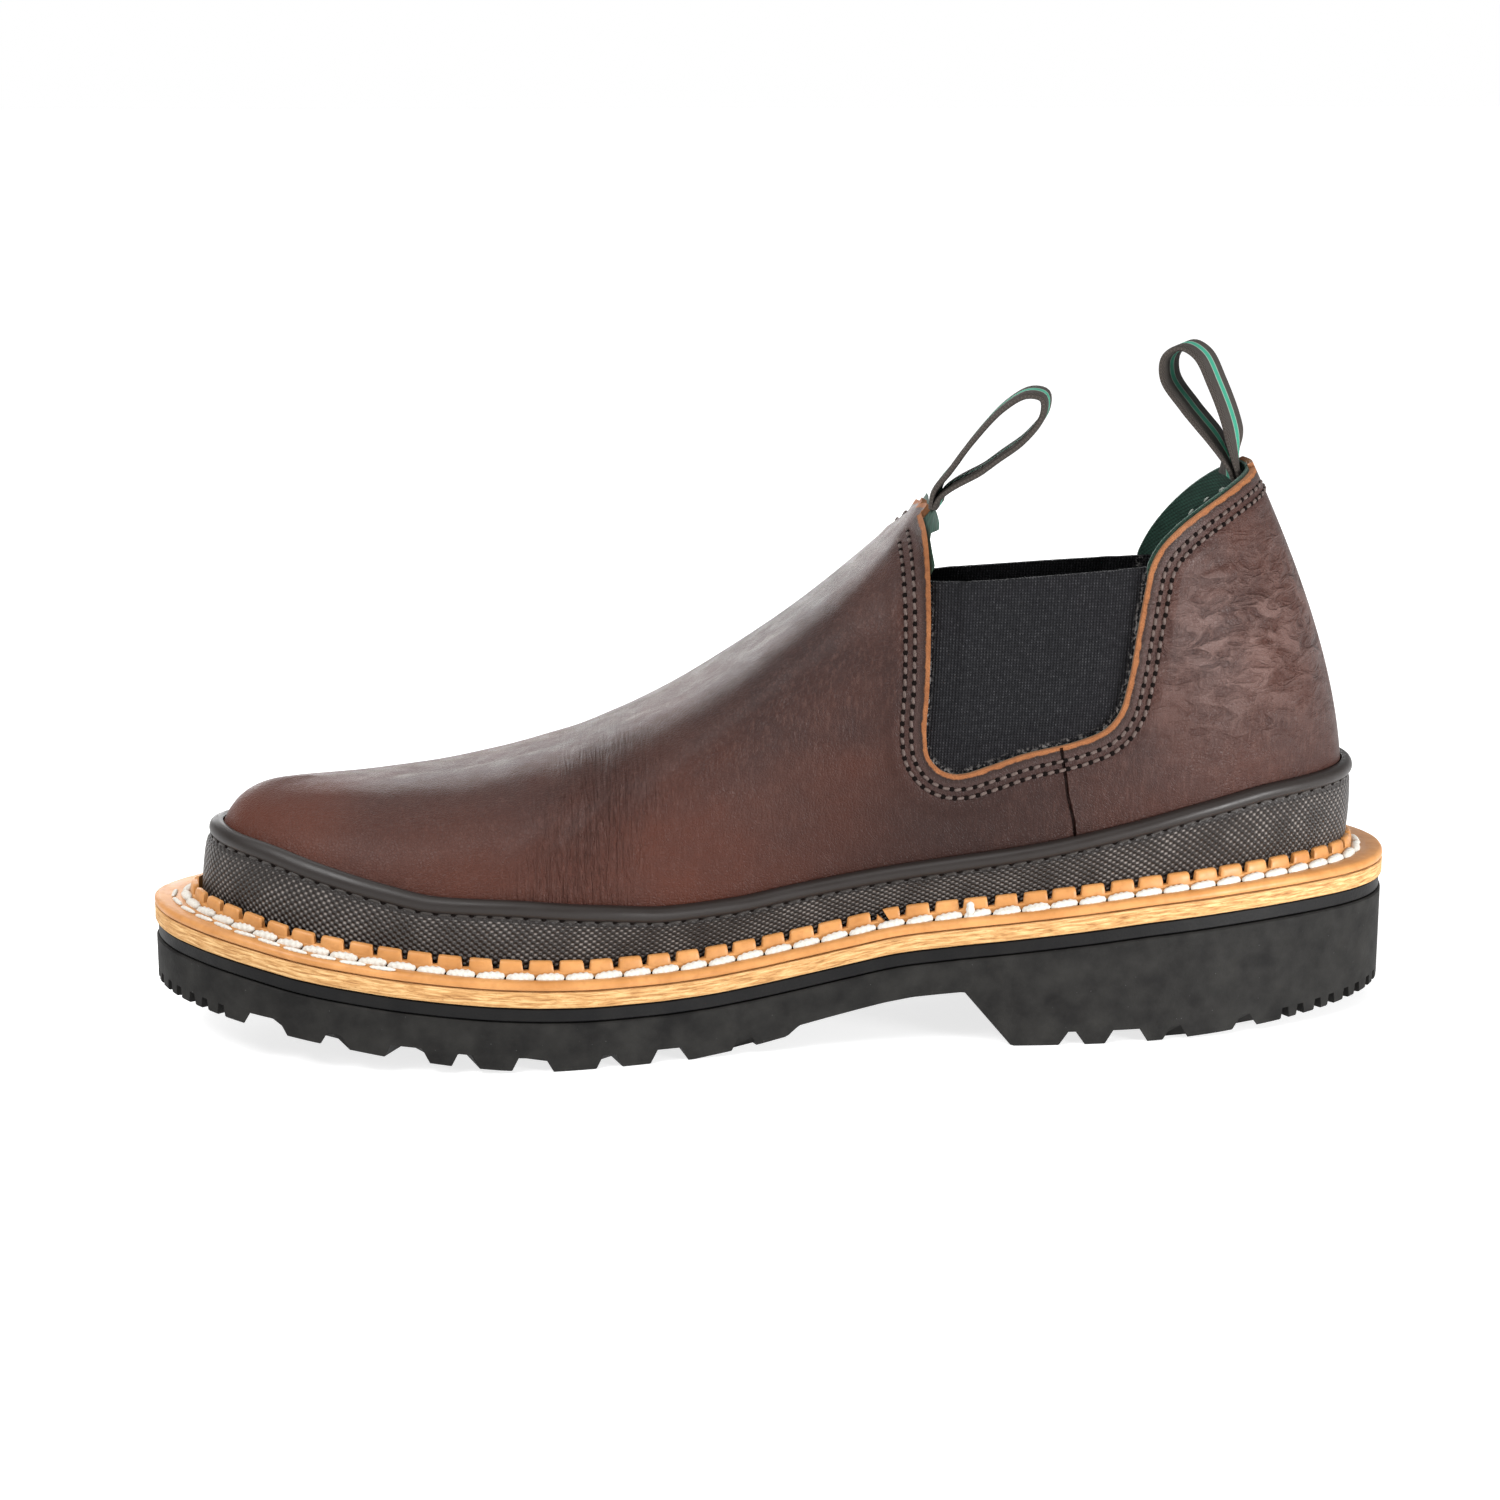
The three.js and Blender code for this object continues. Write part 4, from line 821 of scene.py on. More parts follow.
def rubber_material(name, dark, light, rough, gloss, speck=0.0):
    look = Look(name, Specular_IOR_Level=gloss)
    colour = look.between(look.noise(140, 4), dark, light)
    if speck:
        dots = look.ramp(look.cells(420), (0.0, speck), (0.045, 0.0))
        colour = look.mix(dots, colour, (0.25, 0.25, 0.25))
    return look.done(colour, look.between(look.noise(260), rough - 0.06, rough + 0.05),
                     look.bump(look.noise(1300, 3), 0.25, 0.0003))


def thread_material(name, dark, light, rough=0.8, sheen=0.2, gloss=0.3):
    look = Look(name, Sheen_Weight=sheen, Specular_IOR_Level=gloss)
    colour = look.mix(look.noise(1500, 3), dark, light)
    return look.done(colour, look.between(look.noise(900), rough - 0.1, rough),
                     look.bump(look.noise(2600, 3), 0.35, 0.0002))


def webbing_material():
    """Dark webbing with a green stripe down its middle, pale along the stripe's edges."""
    look = Look("striped_webbing", Specular_IOR_Level=0.15)
    u, v, _ = look.axes(look.surface)
    rib = look.wave(u, 0.9)
    cross = look.wave(look.plus(v, look.times(rib, 0.12)), 1.1)
    weave = look.plus(look.times(rib, cross, 0.4), 0.5)
    middle = look.calc("DIVIDE", look.calc("ABSOLUTE", v), 10.0)
    stripe = look.ramp(middle, (0.2, 1.0), (0.24, 0.0))
    pale = look.ramp(middle, (0.17, 0.0), (0.2, 1.0), (0.24, 1.0), (0.27, 0.0))
    grey = look.mix(weave, (0.012, 0.01, 0.009), (0.075, 0.064, 0.056))
    green = look.mix(weave, (0.01, 0.12, 0.08), (0.06, 0.42, 0.27))
    colour = look.mix(look.times(pale, 0.5), look.mix(stripe, grey, green), (0.45, 0.5, 0.45))
    return look.done(colour, look.between(look.noise(500), 0.8, 0.95), look.bump(weave, 0.6, 0.0003))


leather = leather_material()
raw_edge = edge_material()
lining = cloth_material("green_lining", (0.006, 0.028, 0.018), (0.03, 0.11, 0.075), 0.0011)
insole_cloth = cloth_material("insole_cloth", (0.05, 0.045, 0.04), (0.16, 0.145, 0.12), 0.0014)
gore = gore_material()
rand_rubber = rand_material()
welt_tan = welt_material()
fibre = midsole_material()
black_rubber = rubber_material("layer_rubber", (0.0045, 0.0045, 0.005), (0.0085, 0.0082, 0.008), 0.5, 0.16)
sole_rubber = rubber_material("sole_rubber", (0.0085, 0.0082, 0.008), (0.022, 0.0212, 0.0198), 0.72, 0.13,
                              speck=0.6)
white_thread = thread_material("white_thread", (0.42, 0.39, 0.33), (0.8, 0.78, 0.73))
brown_thread = thread_material("brown_thread", (0.034, 0.022, 0.018), (0.15, 0.108, 0.094), 0.6, 0.05)
black_thread = thread_material("black_thread", (0.01, 0.008, 0.007), (0.045, 0.036, 0.031), 0.6)
# painted shade: near-black bits that stand for the dark of the stitch holes
painted_hole_shade = thread_material("painted_hole_shade", (0.0025, 0.0016, 0.0014), (0.008, 0.0052, 0.0046), 0.9,
                              sheen=0.0, gloss=0.05)
pale_thread = thread_material("pale_thread", (0.16, 0.19, 0.165), (0.46, 0.5, 0.45))
webbing = webbing_material()


# Sole

def layered(name, rows, material, **how):
    """A plate from rows of distance in from the outline, height's function and what is added to it."""
    return plate(name, [ring_level(d, lambda x, f=f, more=more: f(x) + more) for d, f, more in rows],
                 material, **how)


def outsole_top(x):
    return seat(x) - LAYER - 2 * GAP


def outsole_middle(x):
    return (outsole_top(x) + tread(x)) / 2


SOLE_ANGLE = 32
outsole = layered("outsole_body", [
    (0.6, outsole_top, 0), (0.2, outsole_top, -0.35), (0.2, outsole_middle, 0),
    (0.2, tread, 0.35), (0.55, tread, 0)], sole_rubber, across=10, angle=SOLE_ANGLE)


def block(corners_low, corners_high):
    """A six-sided cutter from four corners below and four above."""
    faces = [(3, 2, 1, 0), (4, 5, 6, 7), (0, 1, 5, 4), (1, 2, 6, 5), (2, 3, 7, 6), (3, 0, 4, 7)]
    return turned_out(make_mesh("cutter", corners_low + corners_high, faces, [sole_rubber]))


def lug_gap(side, at, mouth, root, reach):
    """A cutter for one gap between lugs; those at the front lean toward the toe."""
    x, mouth, root, reach = at * LENGTH, mouth * LENGTH, root * LENGTH, reach * WIDTH
    lean = 0.02 * LENGTH if at > 0.5 else 0.0
    half = ring[1:HALF] if side > 0 else ring[HALF + 1:][::-1]
    edge = np.interp(x, half[:, 0], half[:, 1])
    levels = []
    for width, rise in ((mouth / 2 + 1, -2), (root / 2, LUG_DEPTH)):
        z = {way: (tread(x + way * mouth / 2) + tread(x)) / 2 + rise for way in (-1, 1)}
        levels.append([(x + way * width + shift, y, z[way]) for way, shift, y in (
            (-1, -0.12 * lean, edge + side * 4), (1, -0.12 * lean, edge + side * 4),
            (1, lean, edge - side * reach), (-1, lean, edge - side * reach))])
    return block(*levels)


def fine_gap(p, n):
    """A cutter for a fine gap of the tread at p of the outline, which faces n there."""
    t = np.array([-n[1], n[0]])
    levels = []
    for width, rise in ((1.6, -2), (0.9, LUG_DEPTH * 0.85)):
        corners = [p + n * along + t * way * width for along, way in ((3, -1), (3, 1), (-9, 1), (-9, -1))]
        levels.append([(*c, float(tread(c[0])) + rise) for c in corners])
    return block(*levels)


FINE_GAPS = 138  # as many as would go all round
cutters = [lug_gap(side, *row) for row in LUG_GAPS for side in (1, -1)]
for j in range(FINE_GAPS):
    i = int(round(j * RING / FINE_GAPS)) % RING
    if not 0.116 * LENGTH <= ring[i, 0] <= 0.938 * LENGTH:
        cutters.append(fine_gap(ring[i], ring_out[i]))
cut(outsole, cutters)
finish_mesh(outsole.data, SOLE_ANGLE)

rubber_layer = layered("rubber_layer_body", [
    (1.0, seat, -GAP), (LAYER_INSET, seat, -GAP - 0.25), (LAYER_INSET, seat, -GAP - LAYER + 0.25),
    (1.0, seat, -GAP - LAYER)], black_rubber)
midsole = layered("midsole_body", [
    (0.7, footing, 0), (0.2, footing, -0.12), (0, footing, -0.5), (0.05, footing, -2), (0, seat, 0.4),
    (0.15, seat, 0.08), (0.6, seat, 0)], fibre)


def insole_in(x):
    return ledge(x) + WALL + 0.6


insole = layered("insole_body", [
    (lambda x: insole_in(x) + 0.8, footing, GAP + 3), (insole_in, footing, GAP + 2.3),
    (insole_in, footing, GAP + 0.3), (lambda x: insole_in(x) + 0.3, footing, GAP)], insole_cloth)


# Welt: a rounded flange, a groove with heavy stitches, and a notched rib against the rand.

def welt_in(x):
    """How far the back of the rib stands in from the edge of the sole."""
    return ledge(x) - (2 * GAP + RAND) - 0.8


# Distance from the edge, or from the rib's back where negative, and height above the midsole.
WELT_PROFILE = [
    (0.45, 0.3), (0.12, 0.45), (0, 0.9), (0.1, 1.5), (0.5, 2.05), (1.1, 2.3), (-4, 2.45), (-3.6, 2.3),
    (-3.25, 1.9), (-2.9, 1.7), (-2.1, 1.75), (-1.85, 2.3), (-1.7, 3.3), (-1.55, 3.7), (-1.25, 3.85),
    (-0.02, 3.85), (-0.02, 0.3),
]


def welt_level(distance, height):
    return ring_level((lambda x: welt_in(x) + distance) if distance < 0 else distance,
                      lambda x: footing(x) + height)


welt = sweep("welt_flange", np.stack([welt_level(*row) for row in WELT_PROFILE]), welt_tan)

rib_run = lengths(closed(inset(welt_in)))


def on_welt(run, depth, height):
    """A point by its way round the rib, depth in from the rib's back and height above the midsole."""
    i = np.interp(run % rib_run[-1], rib_run, np.arange(RING + 1))
    a, b, f = int(i) % RING, (int(i) + 1) % RING, i - int(i)
    p, n = ring[a] * (1 - f) + ring[b] * f, unit(ring_out[a] * (1 - f) + ring_out[b] * f)
    q = p - n * (welt_in(p[0]) - depth)
    return np.array([q[0], q[1], footing(q[0]) + height])


WELT_ANGLE = 50
TOOTH_PITCH, TOOTH, TOOTH_FOOT = 7.15, 5.3, 3.2
TOOTH_PROFILE = [
    (0, 3.2), (1.6, 3.2), (1.62, 3.9), (1.5, 4.9), (1.3, 5.7), (0.95, 6.1), (0.45, 6.2), (0, 6.2),
]


def tooth(start, wide):
    """One tooth of the rib: a rounded bar whose ends draw in and which spreads toward its foot."""
    stations = [(0, 0.86), (0.22, 0.96), (0.8, 1), (wide / 2, 1.01)]
    stations += [(wide - along, swell) for along, swell in stations[2::-1]]
    points = []
    for along, swell in stations:
        for depth, height in TOOTH_PROFILE:
            rise = height - TOOTH_FOOT
            lean = 0.35 * (along / wide - 0.5) * 2 * (1 - rise / 3)
            points.append(on_welt(start + along + lean, depth * (swell if depth else 1),
                                  TOOTH_FOOT + rise * (1 - (1 - swell) * 0.6)))
    rows, count = len(stations), len(TOOTH_PROFILE)
    faces = [(a, b, d, c) for a, c, d, b in bar_faces(rows, count)]
    faces += [tuple(range(count))[::-1], tuple(range((rows - 1) * count, rows * count))]
    return np.array(points), faces


teeth_count = int(round(rib_run[-1] / TOOTH_PITCH))
rng = np.random.default_rng(3)
tooth_parts = []
for j in range(teeth_count):
    start = (j + 0.3) * rib_run[-1] / teeth_count + (rng.random() - 0.5) * 0.3
    tooth_parts.append(tooth(start, TOOTH + (rng.random() - 0.5) * 0.5))
teeth = joined("welt_teeth", {welt_tan: tooth_parts}, angle=WELT_ANGLE)

stitch_runs = np.linspace(0, rib_run[-1], 900)
stitch_line = np.array([on_welt(r, 2.75, 2.55) for r in stitch_runs])
stitch_side = np.array([on_welt(r, 3.75, 2.55) for r in stitch_runs]) - stitch_line
stitch_normal = unit(unit(stitch_side) * 0.6 + [0, 0, 0.8])
STITCH_PITCH = rib_run[-1] / round(rib_run[-1] / 7.1) * 0.9995
heavy_stitch = capsule(6.9, 2.5, 2.1, sides=10, rings=26, twist=15.0)
welt_threads = along_line(stitch_line, stitch_normal, heavy_stitch, STITCH_PITCH, tilt=0.1, jitter=0.1)
# near-black bits between the stitches: painted shade in the stitch holes
welt_holes = along_line(stitch_line, stitch_normal, capsule(1.5, 1.5, 0.7, sides=8, rings=4), STITCH_PITCH,
                        sink=-0.75, start=STITCH_PITCH / 2)
# A second row where the stitching overlaps: from and to as shares of the length, depth and thickness.
OVERLAPS = [(0.8, 0.975, 5.9, 1.15), (0.295, 0.365, 3.3, 2.0)]
for low, high, depth, thick in OVERLAPS:
    spots = [(r, on_welt(r, 3, 2)) for r in stitch_runs]
    spots = [r for r, p in spots if low * LENGTH < p[0] < high * LENGTH and p[1] > 0]
    line = np.array([on_welt(r, depth, 2.45) for r in spots])
    up = unit(np.array([on_welt(r, depth + 1, 2.45) for r in spots]) - line) * 0.3 + [0, 0, 0.95]
    template = capsule(6.4, thick, thick * 0.8, sides=8, rings=22, twist=15.0)
    welt_threads += along_line(line, unit(up), template, 7.3, sink=0.15, tilt=0.04, jitter=0.1)


def run_at(place):
    """The way round the rib to a place on the inner side, given as a share of the length."""
    spots = [on_welt(r, 3, 2) for r in stitch_runs]
    return stitch_runs[int(np.argmin([abs(p[0] - place * LENGTH) + 400 * (p[1] < 0) for p in spots]))]


knob_at = on_welt(run_at(0.361), 2.9, 4.4)
knob_out = unit(on_welt(run_at(0.361), 3.9, 4.4) - knob_at)
welt_threads += along_line(knob_at + [[0, 0, -2.6], [0, 0, 1.9]], np.array([knob_out, knob_out]),
                           capsule(4.2, 2.0, 2.0, sides=10, rings=14, twist=9.0), 4.4)
welt_stitches = joined("welt_stitches", {white_thread: welt_threads, painted_hole_shade: welt_holes}, angle=80)

# The welt's two ends meet in a slanting notch on the inner side.
joint_run = run_at(0.428)
for piece in (welt, teeth):
    levels = [[on_welt(joint_run + way * half + shift, depth, height)
               for depth, ways in ((-1.0, (-1, 1)), (3.4, (1, -1))) for way in ways]
              for half, shift, height in ((0.3, -2.0, 2.0), (1.4, 2.2, 7.5))]
    cut(piece, [block(*levels)])
    finish_mesh(piece.data, WELT_ANGLE)


# Upper

def shell(name, outer, inner, *materials):
    """A closed skin between two sets of points on the face's grid."""
    n = len(outer)
    faces = list(face_quads) + [tuple(i + n for i in q[::-1]) for q in face_quads]
    for a, b in zip(ids[:, 0], np.roll(ids[:, 0], -1)):
        faces.append((b, a, a + n, b + n))
    for a, b in zip(collar_ring, np.roll(collar_ring, -1)):
        faces.append((a, b, b + n, a + n))
    return turned_out(make_mesh(name, np.vstack([outer, inner]), faces, materials))


GORE_TOP = {1: (0.81, 0.842), -1: (0.765, 0.797)}  # front and back end of each gore's top


def notch_line(rows):
    """The cut-out's edge, without the two points above the shoe."""
    return through([(x * LENGTH, z * HEIGHT) for x, z in rows[1:-1]], each=10)


notches = {1: notch_line(INNER_NOTCH), -1: notch_line(OUTER_NOTCH)}

flat_normals = face_normals.copy()  # level along the foot, so that the skins stand on one plane there
flat_normals[ids[:, 0], 2] = 0
flat_normals[ids[:, 0]] = unit(flat_normals[ids[:, 0]])

# Soft creases and swells of the leather: side, from x and z to x and z as shares of length and height,
# sag of the line as a share of its length, half width in mm, and height in mm, troughs negative.
CREASES = [
    # across the ball, where the foot bends
    (1, 0.69, 0.315, 0.61, 0.5, 0.06, 2.6, -0.42), (1, 0.664, 0.3, 0.592, 0.452, 0.05, 2.0, -0.34),
    (1, 0.716, 0.32, 0.64, 0.53, 0.07, 2.4, -0.36), (1, 0.745, 0.33, 0.672, 0.56, 0.08, 3.0, -0.3),
    (1, 0.64, 0.3, 0.57, 0.43, 0.05, 2.2, -0.26), (1, 0.702, 0.33, 0.626, 0.52, 0.06, 2.4, 0.3),
    (1, 0.676, 0.31, 0.6, 0.48, 0.05, 2.2, 0.26),
    (-1, 0.64, 0.32, 0.58, 0.5, -0.05, 2.8, -0.45), (-1, 0.665, 0.32, 0.61, 0.52, -0.06, 2.4, -0.38),
    (-1, 0.615, 0.31, 0.555, 0.47, -0.05, 2.4, -0.34), (-1, 0.7, 0.33, 0.645, 0.54, -0.07, 3.0, -0.32),
    (-1, 0.652, 0.32, 0.595, 0.51, -0.05, 2.2, 0.3),
    # broad swells: the ankle's hollow, the quarter's pad and the vamp's flank
    (1, 0.4, 0.58, 0.52, 0.44, 0.1, 11.0, -0.7), (1, 0.075, 0.62, 0.13, 0.56, 0.0, 10.0, 0.8),
    (1, 0.3, 0.42, 0.4, 0.38, 0.0, 8.0, -0.5), (-1, 0.4, 0.56, 0.52, 0.42, 0.1, 11.0, -0.8),
    (-1, 0.075, 0.62, 0.13, 0.56, 0.0, 10.0, 0.8), (1, 0.8, 0.4, 0.9, 0.42, 0.0, 9.0, 0.4),
    # the folds that the back quarter keeps above the counter, inner side and outer side
    (1, 0.083, 0.905, 0.175, 0.88, 0.08, 1.5, -0.4), (1, 0.075, 0.868, 0.19, 0.846, -0.05, 1.6, -0.46),
    (1, 0.094, 0.836, 0.196, 0.826, 0.07, 1.4, -0.4), (1, 0.068, 0.812, 0.145, 0.8, -0.08, 1.5, -0.42),
    (1, 0.114, 0.786, 0.204, 0.792, 0.08, 1.4, -0.4), (1, 0.071, 0.765, 0.175, 0.755, 0.05, 1.5, -0.45),
    (1, 0.083, 0.728, 0.196, 0.742, -0.06, 1.4, -0.36), (1, 0.067, 0.7, 0.16, 0.702, 0.07, 1.6, -0.4),
    (1, 0.104, 0.668, 0.19, 0.69, -0.05, 1.5, -0.28), (1, 0.145, 0.93, 0.185, 0.905, 0.05, 1.3, -0.3),
    (1, 0.109, 0.85, 0.165, 0.842, 0.0, 2.2, 0.3), (1, 0.083, 0.78, 0.134, 0.776, 0.0, 2.2, 0.34),
    (1, 0.124, 0.718, 0.175, 0.724, 0.0, 2.2, 0.3), (1, 0.063, 0.64, 0.134, 0.652, 0.04, 1.6, -0.22),
    (-1, 0.081, 0.88, 0.165, 0.855, 0.08, 1.6, -0.4), (-1, 0.073, 0.835, 0.18, 0.82, -0.06, 1.6, -0.44),
    (-1, 0.096, 0.792, 0.185, 0.785, 0.07, 1.5, -0.4), (-1, 0.069, 0.755, 0.155, 0.748, -0.07, 1.6, -0.42),
    (-1, 0.089, 0.712, 0.183, 0.722, 0.06, 1.5, -0.36), (-1, 0.068, 0.672, 0.155, 0.68, 0.06, 1.6, -0.3),
]
# Seam below each gore.
SIDE_SEAM = [(0.2905, 0.53), (0.2875, 0.49), (0.284, 0.44), (0.279, 0.395), (0.2765, 0.35)]


FAR = 30.0  # stands for any distance from an edge beyond this one


def line_distance(points, line):
    """Distance from points to a line, both in x and z."""
    out = np.full(len(points), np.inf)
    for a, b in zip(line[:-1], line[1:]):
        ab = b - a
        t = np.clip(((points - a) @ ab) / (ab @ ab), 0, 1)
        out = np.minimum(out, np.linalg.norm(points - a - t[:, None] * ab, axis=1))
    return out


def seam_line(side):
    """The seam below a gore; the outer one stands further back and starts lower."""
    back, lift = (0, 0) if side > 0 else (-0.02, -0.033)
    return through([((x + back) * LENGTH, (z + lift * (z > 0.4)) * HEIGHT) for x, z in SIDE_SEAM], each=6)


def relief_of(points):
    """Height of the creases at points of the face, which fade out at its edges."""
    out = np.zeros(len(points))
    flat = points[:, [0, 2]]
    for side, x0, z0, x1, z1, sag, half, high in CREASES:
        a, b = np.array([x0 * LENGTH, z0 * HEIGHT]), np.array([x1 * LENGTH, z1 * HEIGHT])
        bow = np.array([-(b - a)[1], (b - a)[0]]) * sag
        line = through([a, (a + b) / 2 + bow, b], each=7)
        d = line_distance(flat, line)
        along = np.clip((flat - a) @ (b - a) / ((b - a) @ (b - a)), 0, 1)
        ends = 0.35 + 0.65 * np.sin(math.pi * along) ** 0.6
        out += np.where(points[:, 1] * side > 0, high * ends * np.exp(-(d / half) ** 2), 0)
    for side in (1, -1):
        d = line_distance(flat, seam_line(side))
        out += np.where(points[:, 1] * side > 0, 0.42 * np.exp(-(d / 1.7) ** 2), 0)
        # no creases beside the cut-out, but a swell outside its two rows of stitches and a dip under them
        mine = points[:, 1] * side > 3
        edge = np.full(len(points), FAR)
        edge[mine] = line_distance(flat[mine], notches[side])
        swell, dip = 0.5 * np.exp(-((edge - 8.0) / 1.7) ** 2), 0.25 * np.exp(-((edge - 4.7) / 2.2) ** 2)
        out = out * ease((edge - 5) / 5) + np.where(mine, swell - dip, 0)
    middle = ease((abs(points[:, 1]) - 5) / 12)
    return out * middle * ease((points[:, 2] - rand_top(points[:, 0]) - 0.5) / 5)


outer_face = face_points + face_normals * relief_of(face_points)[:, None]


def depth_of(depth):
    return outer_face - flat_normals * depth


SKIN_ANGLE = 38
ABOVE = 1.16 * HEIGHT  # higher than the upper
STRIP = 0.05  # half the width of the collar that runs whole between the cut-outs, as a share of the width


def side_prism(line, side, near, material):
    """A cutter across one side of the shoe from an outline in x and z."""
    n = len(line)
    points = [(x, side * y, z) for y in (near, WIDTH) for x, z in line]
    faces = [tuple(range(n))[::-1], tuple(range(n, 2 * n))]
    faces += [(i, (i + 1) % n, n + (i + 1) % n, n + i) for i in range(n)]
    return turned_out(make_mesh("cutter", points, faces, [material]))


def notch_prism(side, stand_out=0.0):
    """A cutter for one gore's cut-out, drawn in by stand_out."""
    line = offset_line(notches[side], -stand_out)
    line = np.vstack([[line[0, 0], ABOVE], line, [line[-1, 0], ABOVE]])
    return side_prism(line, side, STRIP * WIDTH, raw_edge)


def offset_line(line, distance):
    """A line in x and z moved to its left, which for a cut-out is into the leather."""
    t = unit(np.gradient(line, axis=0))
    return line + np.column_stack([-t[:, 1], t[:, 0]]) * np.reshape(distance, (-1, 1))


def edge_distance(co):
    """Distance of points from the leather's edge at the cut-outs and at the collar between them."""
    d = np.full(len(co), FAR)
    for side in (1, -1):
        mine = co[:, 1] * side > (STRIP - 0.0001) * WIDTH
        d[mine] = line_distance(co[mine][:, [0, 2]], notches[side])
    between = abs(co[:, 1]) < (STRIP + 0.0001) * WIDTH
    for face in (outer_face, depth_of(LEATHER)):
        rim = face[collar_ring]
        rim = rim[abs(rim[:, 1]) < (STRIP + 0.01) * WIDTH]
        gap = np.linalg.norm(co[between][:, None] - rim[None], axis=2).min(1)
        d[between] = np.minimum(d[between], np.maximum(gap - 0.4, 0))
    return d


leather_skin = shell("upper_leather", outer_face, depth_of(LEATHER), leather, raw_edge)
cut(leather_skin, [notch_prism(side) for side in (1, -1)])


def stand_out_of(side):
    """How far the lining stands out of the leather's edge: only above the gore, most at the front tab."""
    x, z = notches[side].T
    rise = z - GORE_TOP[side][0] * HEIGHT
    front = 1.0 + 2.2 * ease((z - 0.885 * HEIGHT) / 2.5) + 1.3 * np.exp(-(rise / 5) ** 2)
    return ease((rise - 1) / 4) * np.where(x > 0.3 * LENGTH, front, 0.9) - 0.1


lining_skin = shell("upper_lining", depth_of(LEATHER + 0.05), depth_of(WALL), lining)
cut(lining_skin, [notch_prism(side, stand_out_of(side)) for side in (1, -1)])
finish_mesh(lining_skin.data, SKIN_ANGLE)

gores = {}
for side, name in ((1, "gore_inner_panel"), (-1, "gore_outer_panel")):
    front_top, back_top = (h * HEIGHT for h in GORE_TOP[side])
    body = offset_line(notches[side], 6.0)
    body = body[body[:, 1] < front_top - 2]
    line = np.vstack([[body[0, 0], front_top], body, [body[-1, 0], back_top]])
    skin = shell(name, depth_of(WALL + GAP), depth_of(WALL + GAP + 1.5), gore)
    gores[side] = cut(skin, [side_prism(line, side, 0.09 * WIDTH, gore)], "INTERSECT")
    set_attribute(skin, "edge", edge_distance(corners_of(skin)))
    finish_mesh(skin.data, SKIN_ANGLE)


# Rand: a knurled band with a smooth bead along its top.

BAND = np.linspace(0, 1, 15)  # shares of the way up to the bead
RAND_LEVELS = [("band", u) for u in BAND]
RAND_LEVELS += [("bead", math.radians(a)) for a in np.linspace(-80, 90, 11)]
RAND_LEVELS += [("back", u) for u in (2, 1.5, 1, 0.66, 0.33, 0)]
LOWER = ROWS // 2  # the rand keeps to the lower half of the face


def rand_row(kind, v):
    """One row of the rand along all columns of the upper's face."""
    points, normals = outer_face[ids][:, :LOWER], face_normals[ids][:, :LOWER]
    foot = points[:, 0]
    top = rand_top(foot[:, 0])
    low = top - BEAD
    if kind == "band":
        z, out = foot[:, 2] + (low - foot[:, 2]) * v, RAND - (0.5 if v == 1 else 0)
    elif kind == "bead":
        z = top - BEAD / 2 + BEAD / 2 * math.sin(v)
        out = RAND * 0.45 + (RAND * 0.55 + 0.75) * math.cos(v)
    else:
        z, out = (foot[:, 2] + (low - foot[:, 2]) * v if v <= 1 else low + BEAD * (v - 1)), 0.1
    row = np.empty((COLUMNS, 3))
    for c in range(COLUMNS):
        p, n = (np.array([np.interp(z[c], points[c, :, 2], values[c, :, i]) for i in range(3)])
                for values in (points, normals))
        if v == 0:
            n[2] = 0
        row[c] = p + unit(n) * (GAP + out)
    if v == 0:
        row[:, 2] = foot[:, 2]
    return row


rand_rows = np.stack([rand_row(kind, v) for kind, v in RAND_LEVELS])
rand = sweep("rand_band", rand_rows, rand_rubber)
knurled = [float(kind == "band" and 0 < v < 1) for kind, v in RAND_LEVELS]
set_attribute(rand, "knurl", np.repeat(knurled, COLUMNS))
seam_points = closed(rand_rows[len(BAND) - 1])
seam_normals = closed(face_normals[ids[:, 8]])  # a few steps up, where the bead sits
RAND_PITCH = 4.3
rand_threads = along_line(seam_points, seam_normals, capsule(3.1, 0.75, 0.7, sides=6, rings=6), RAND_PITCH,
                          sink=0.12, jitter=0.1)
# near-black bits between the stitches: painted shade in the stitch holes
rand_holes = along_line(seam_points, seam_normals, capsule(1.3, 0.9, 0.6, sides=6, rings=4), RAND_PITCH,
                        sink=0.1, start=RAND_PITCH / 2)
rand_seam = joined("rand_stitches", {black_thread: rand_threads, painted_hole_shade: rand_holes})


# Stitches on the upper

LINE_STEPS = 260
outside = BVHTree.FromPolygons([Vector(p) for p in outer_face], face_quads)
inside = BVHTree.FromPolygons([Vector(p) for p in depth_of(WALL)], face_quads)


def on_skin(side, line, count=LINE_STEPS, lining=False):
    """A line in x and z laid on the outside or on the lining: count points, and the normals there."""
    tree, start, way = (inside, side * 4, side) if lining else (outside, side * 200, -side)
    points, normals = [], []
    for x, z in evenly(line, count):
        hit, normal, _, _ = tree.ray_cast(Vector((x, start, z)), Vector((0, way, 0)))
        if hit is not None:
            points.append(np.array(hit))
            normals.append(np.array(normal) * (1 if normal[1] * way < 0 else -1))
    return np.array(points), np.array(normals)


def stitched(side, line, pitch, template, sink, start=0.0, lining=False):
    """Stitches along a line in x and z."""
    return along_line(*on_skin(side, line, lining=lining), template, pitch, sink=sink, start=start,
                      tilt=0.12, jitter=0.12)


UPPER_PITCH, LINING_PITCH = 2.85, 5.8
stitch = capsule(1.85, 0.82, 0.8, sides=8, rings=8, twist=9.0)
lining_stitch = capsule(2.3, 0.8, 0.7, sides=8, rings=6)
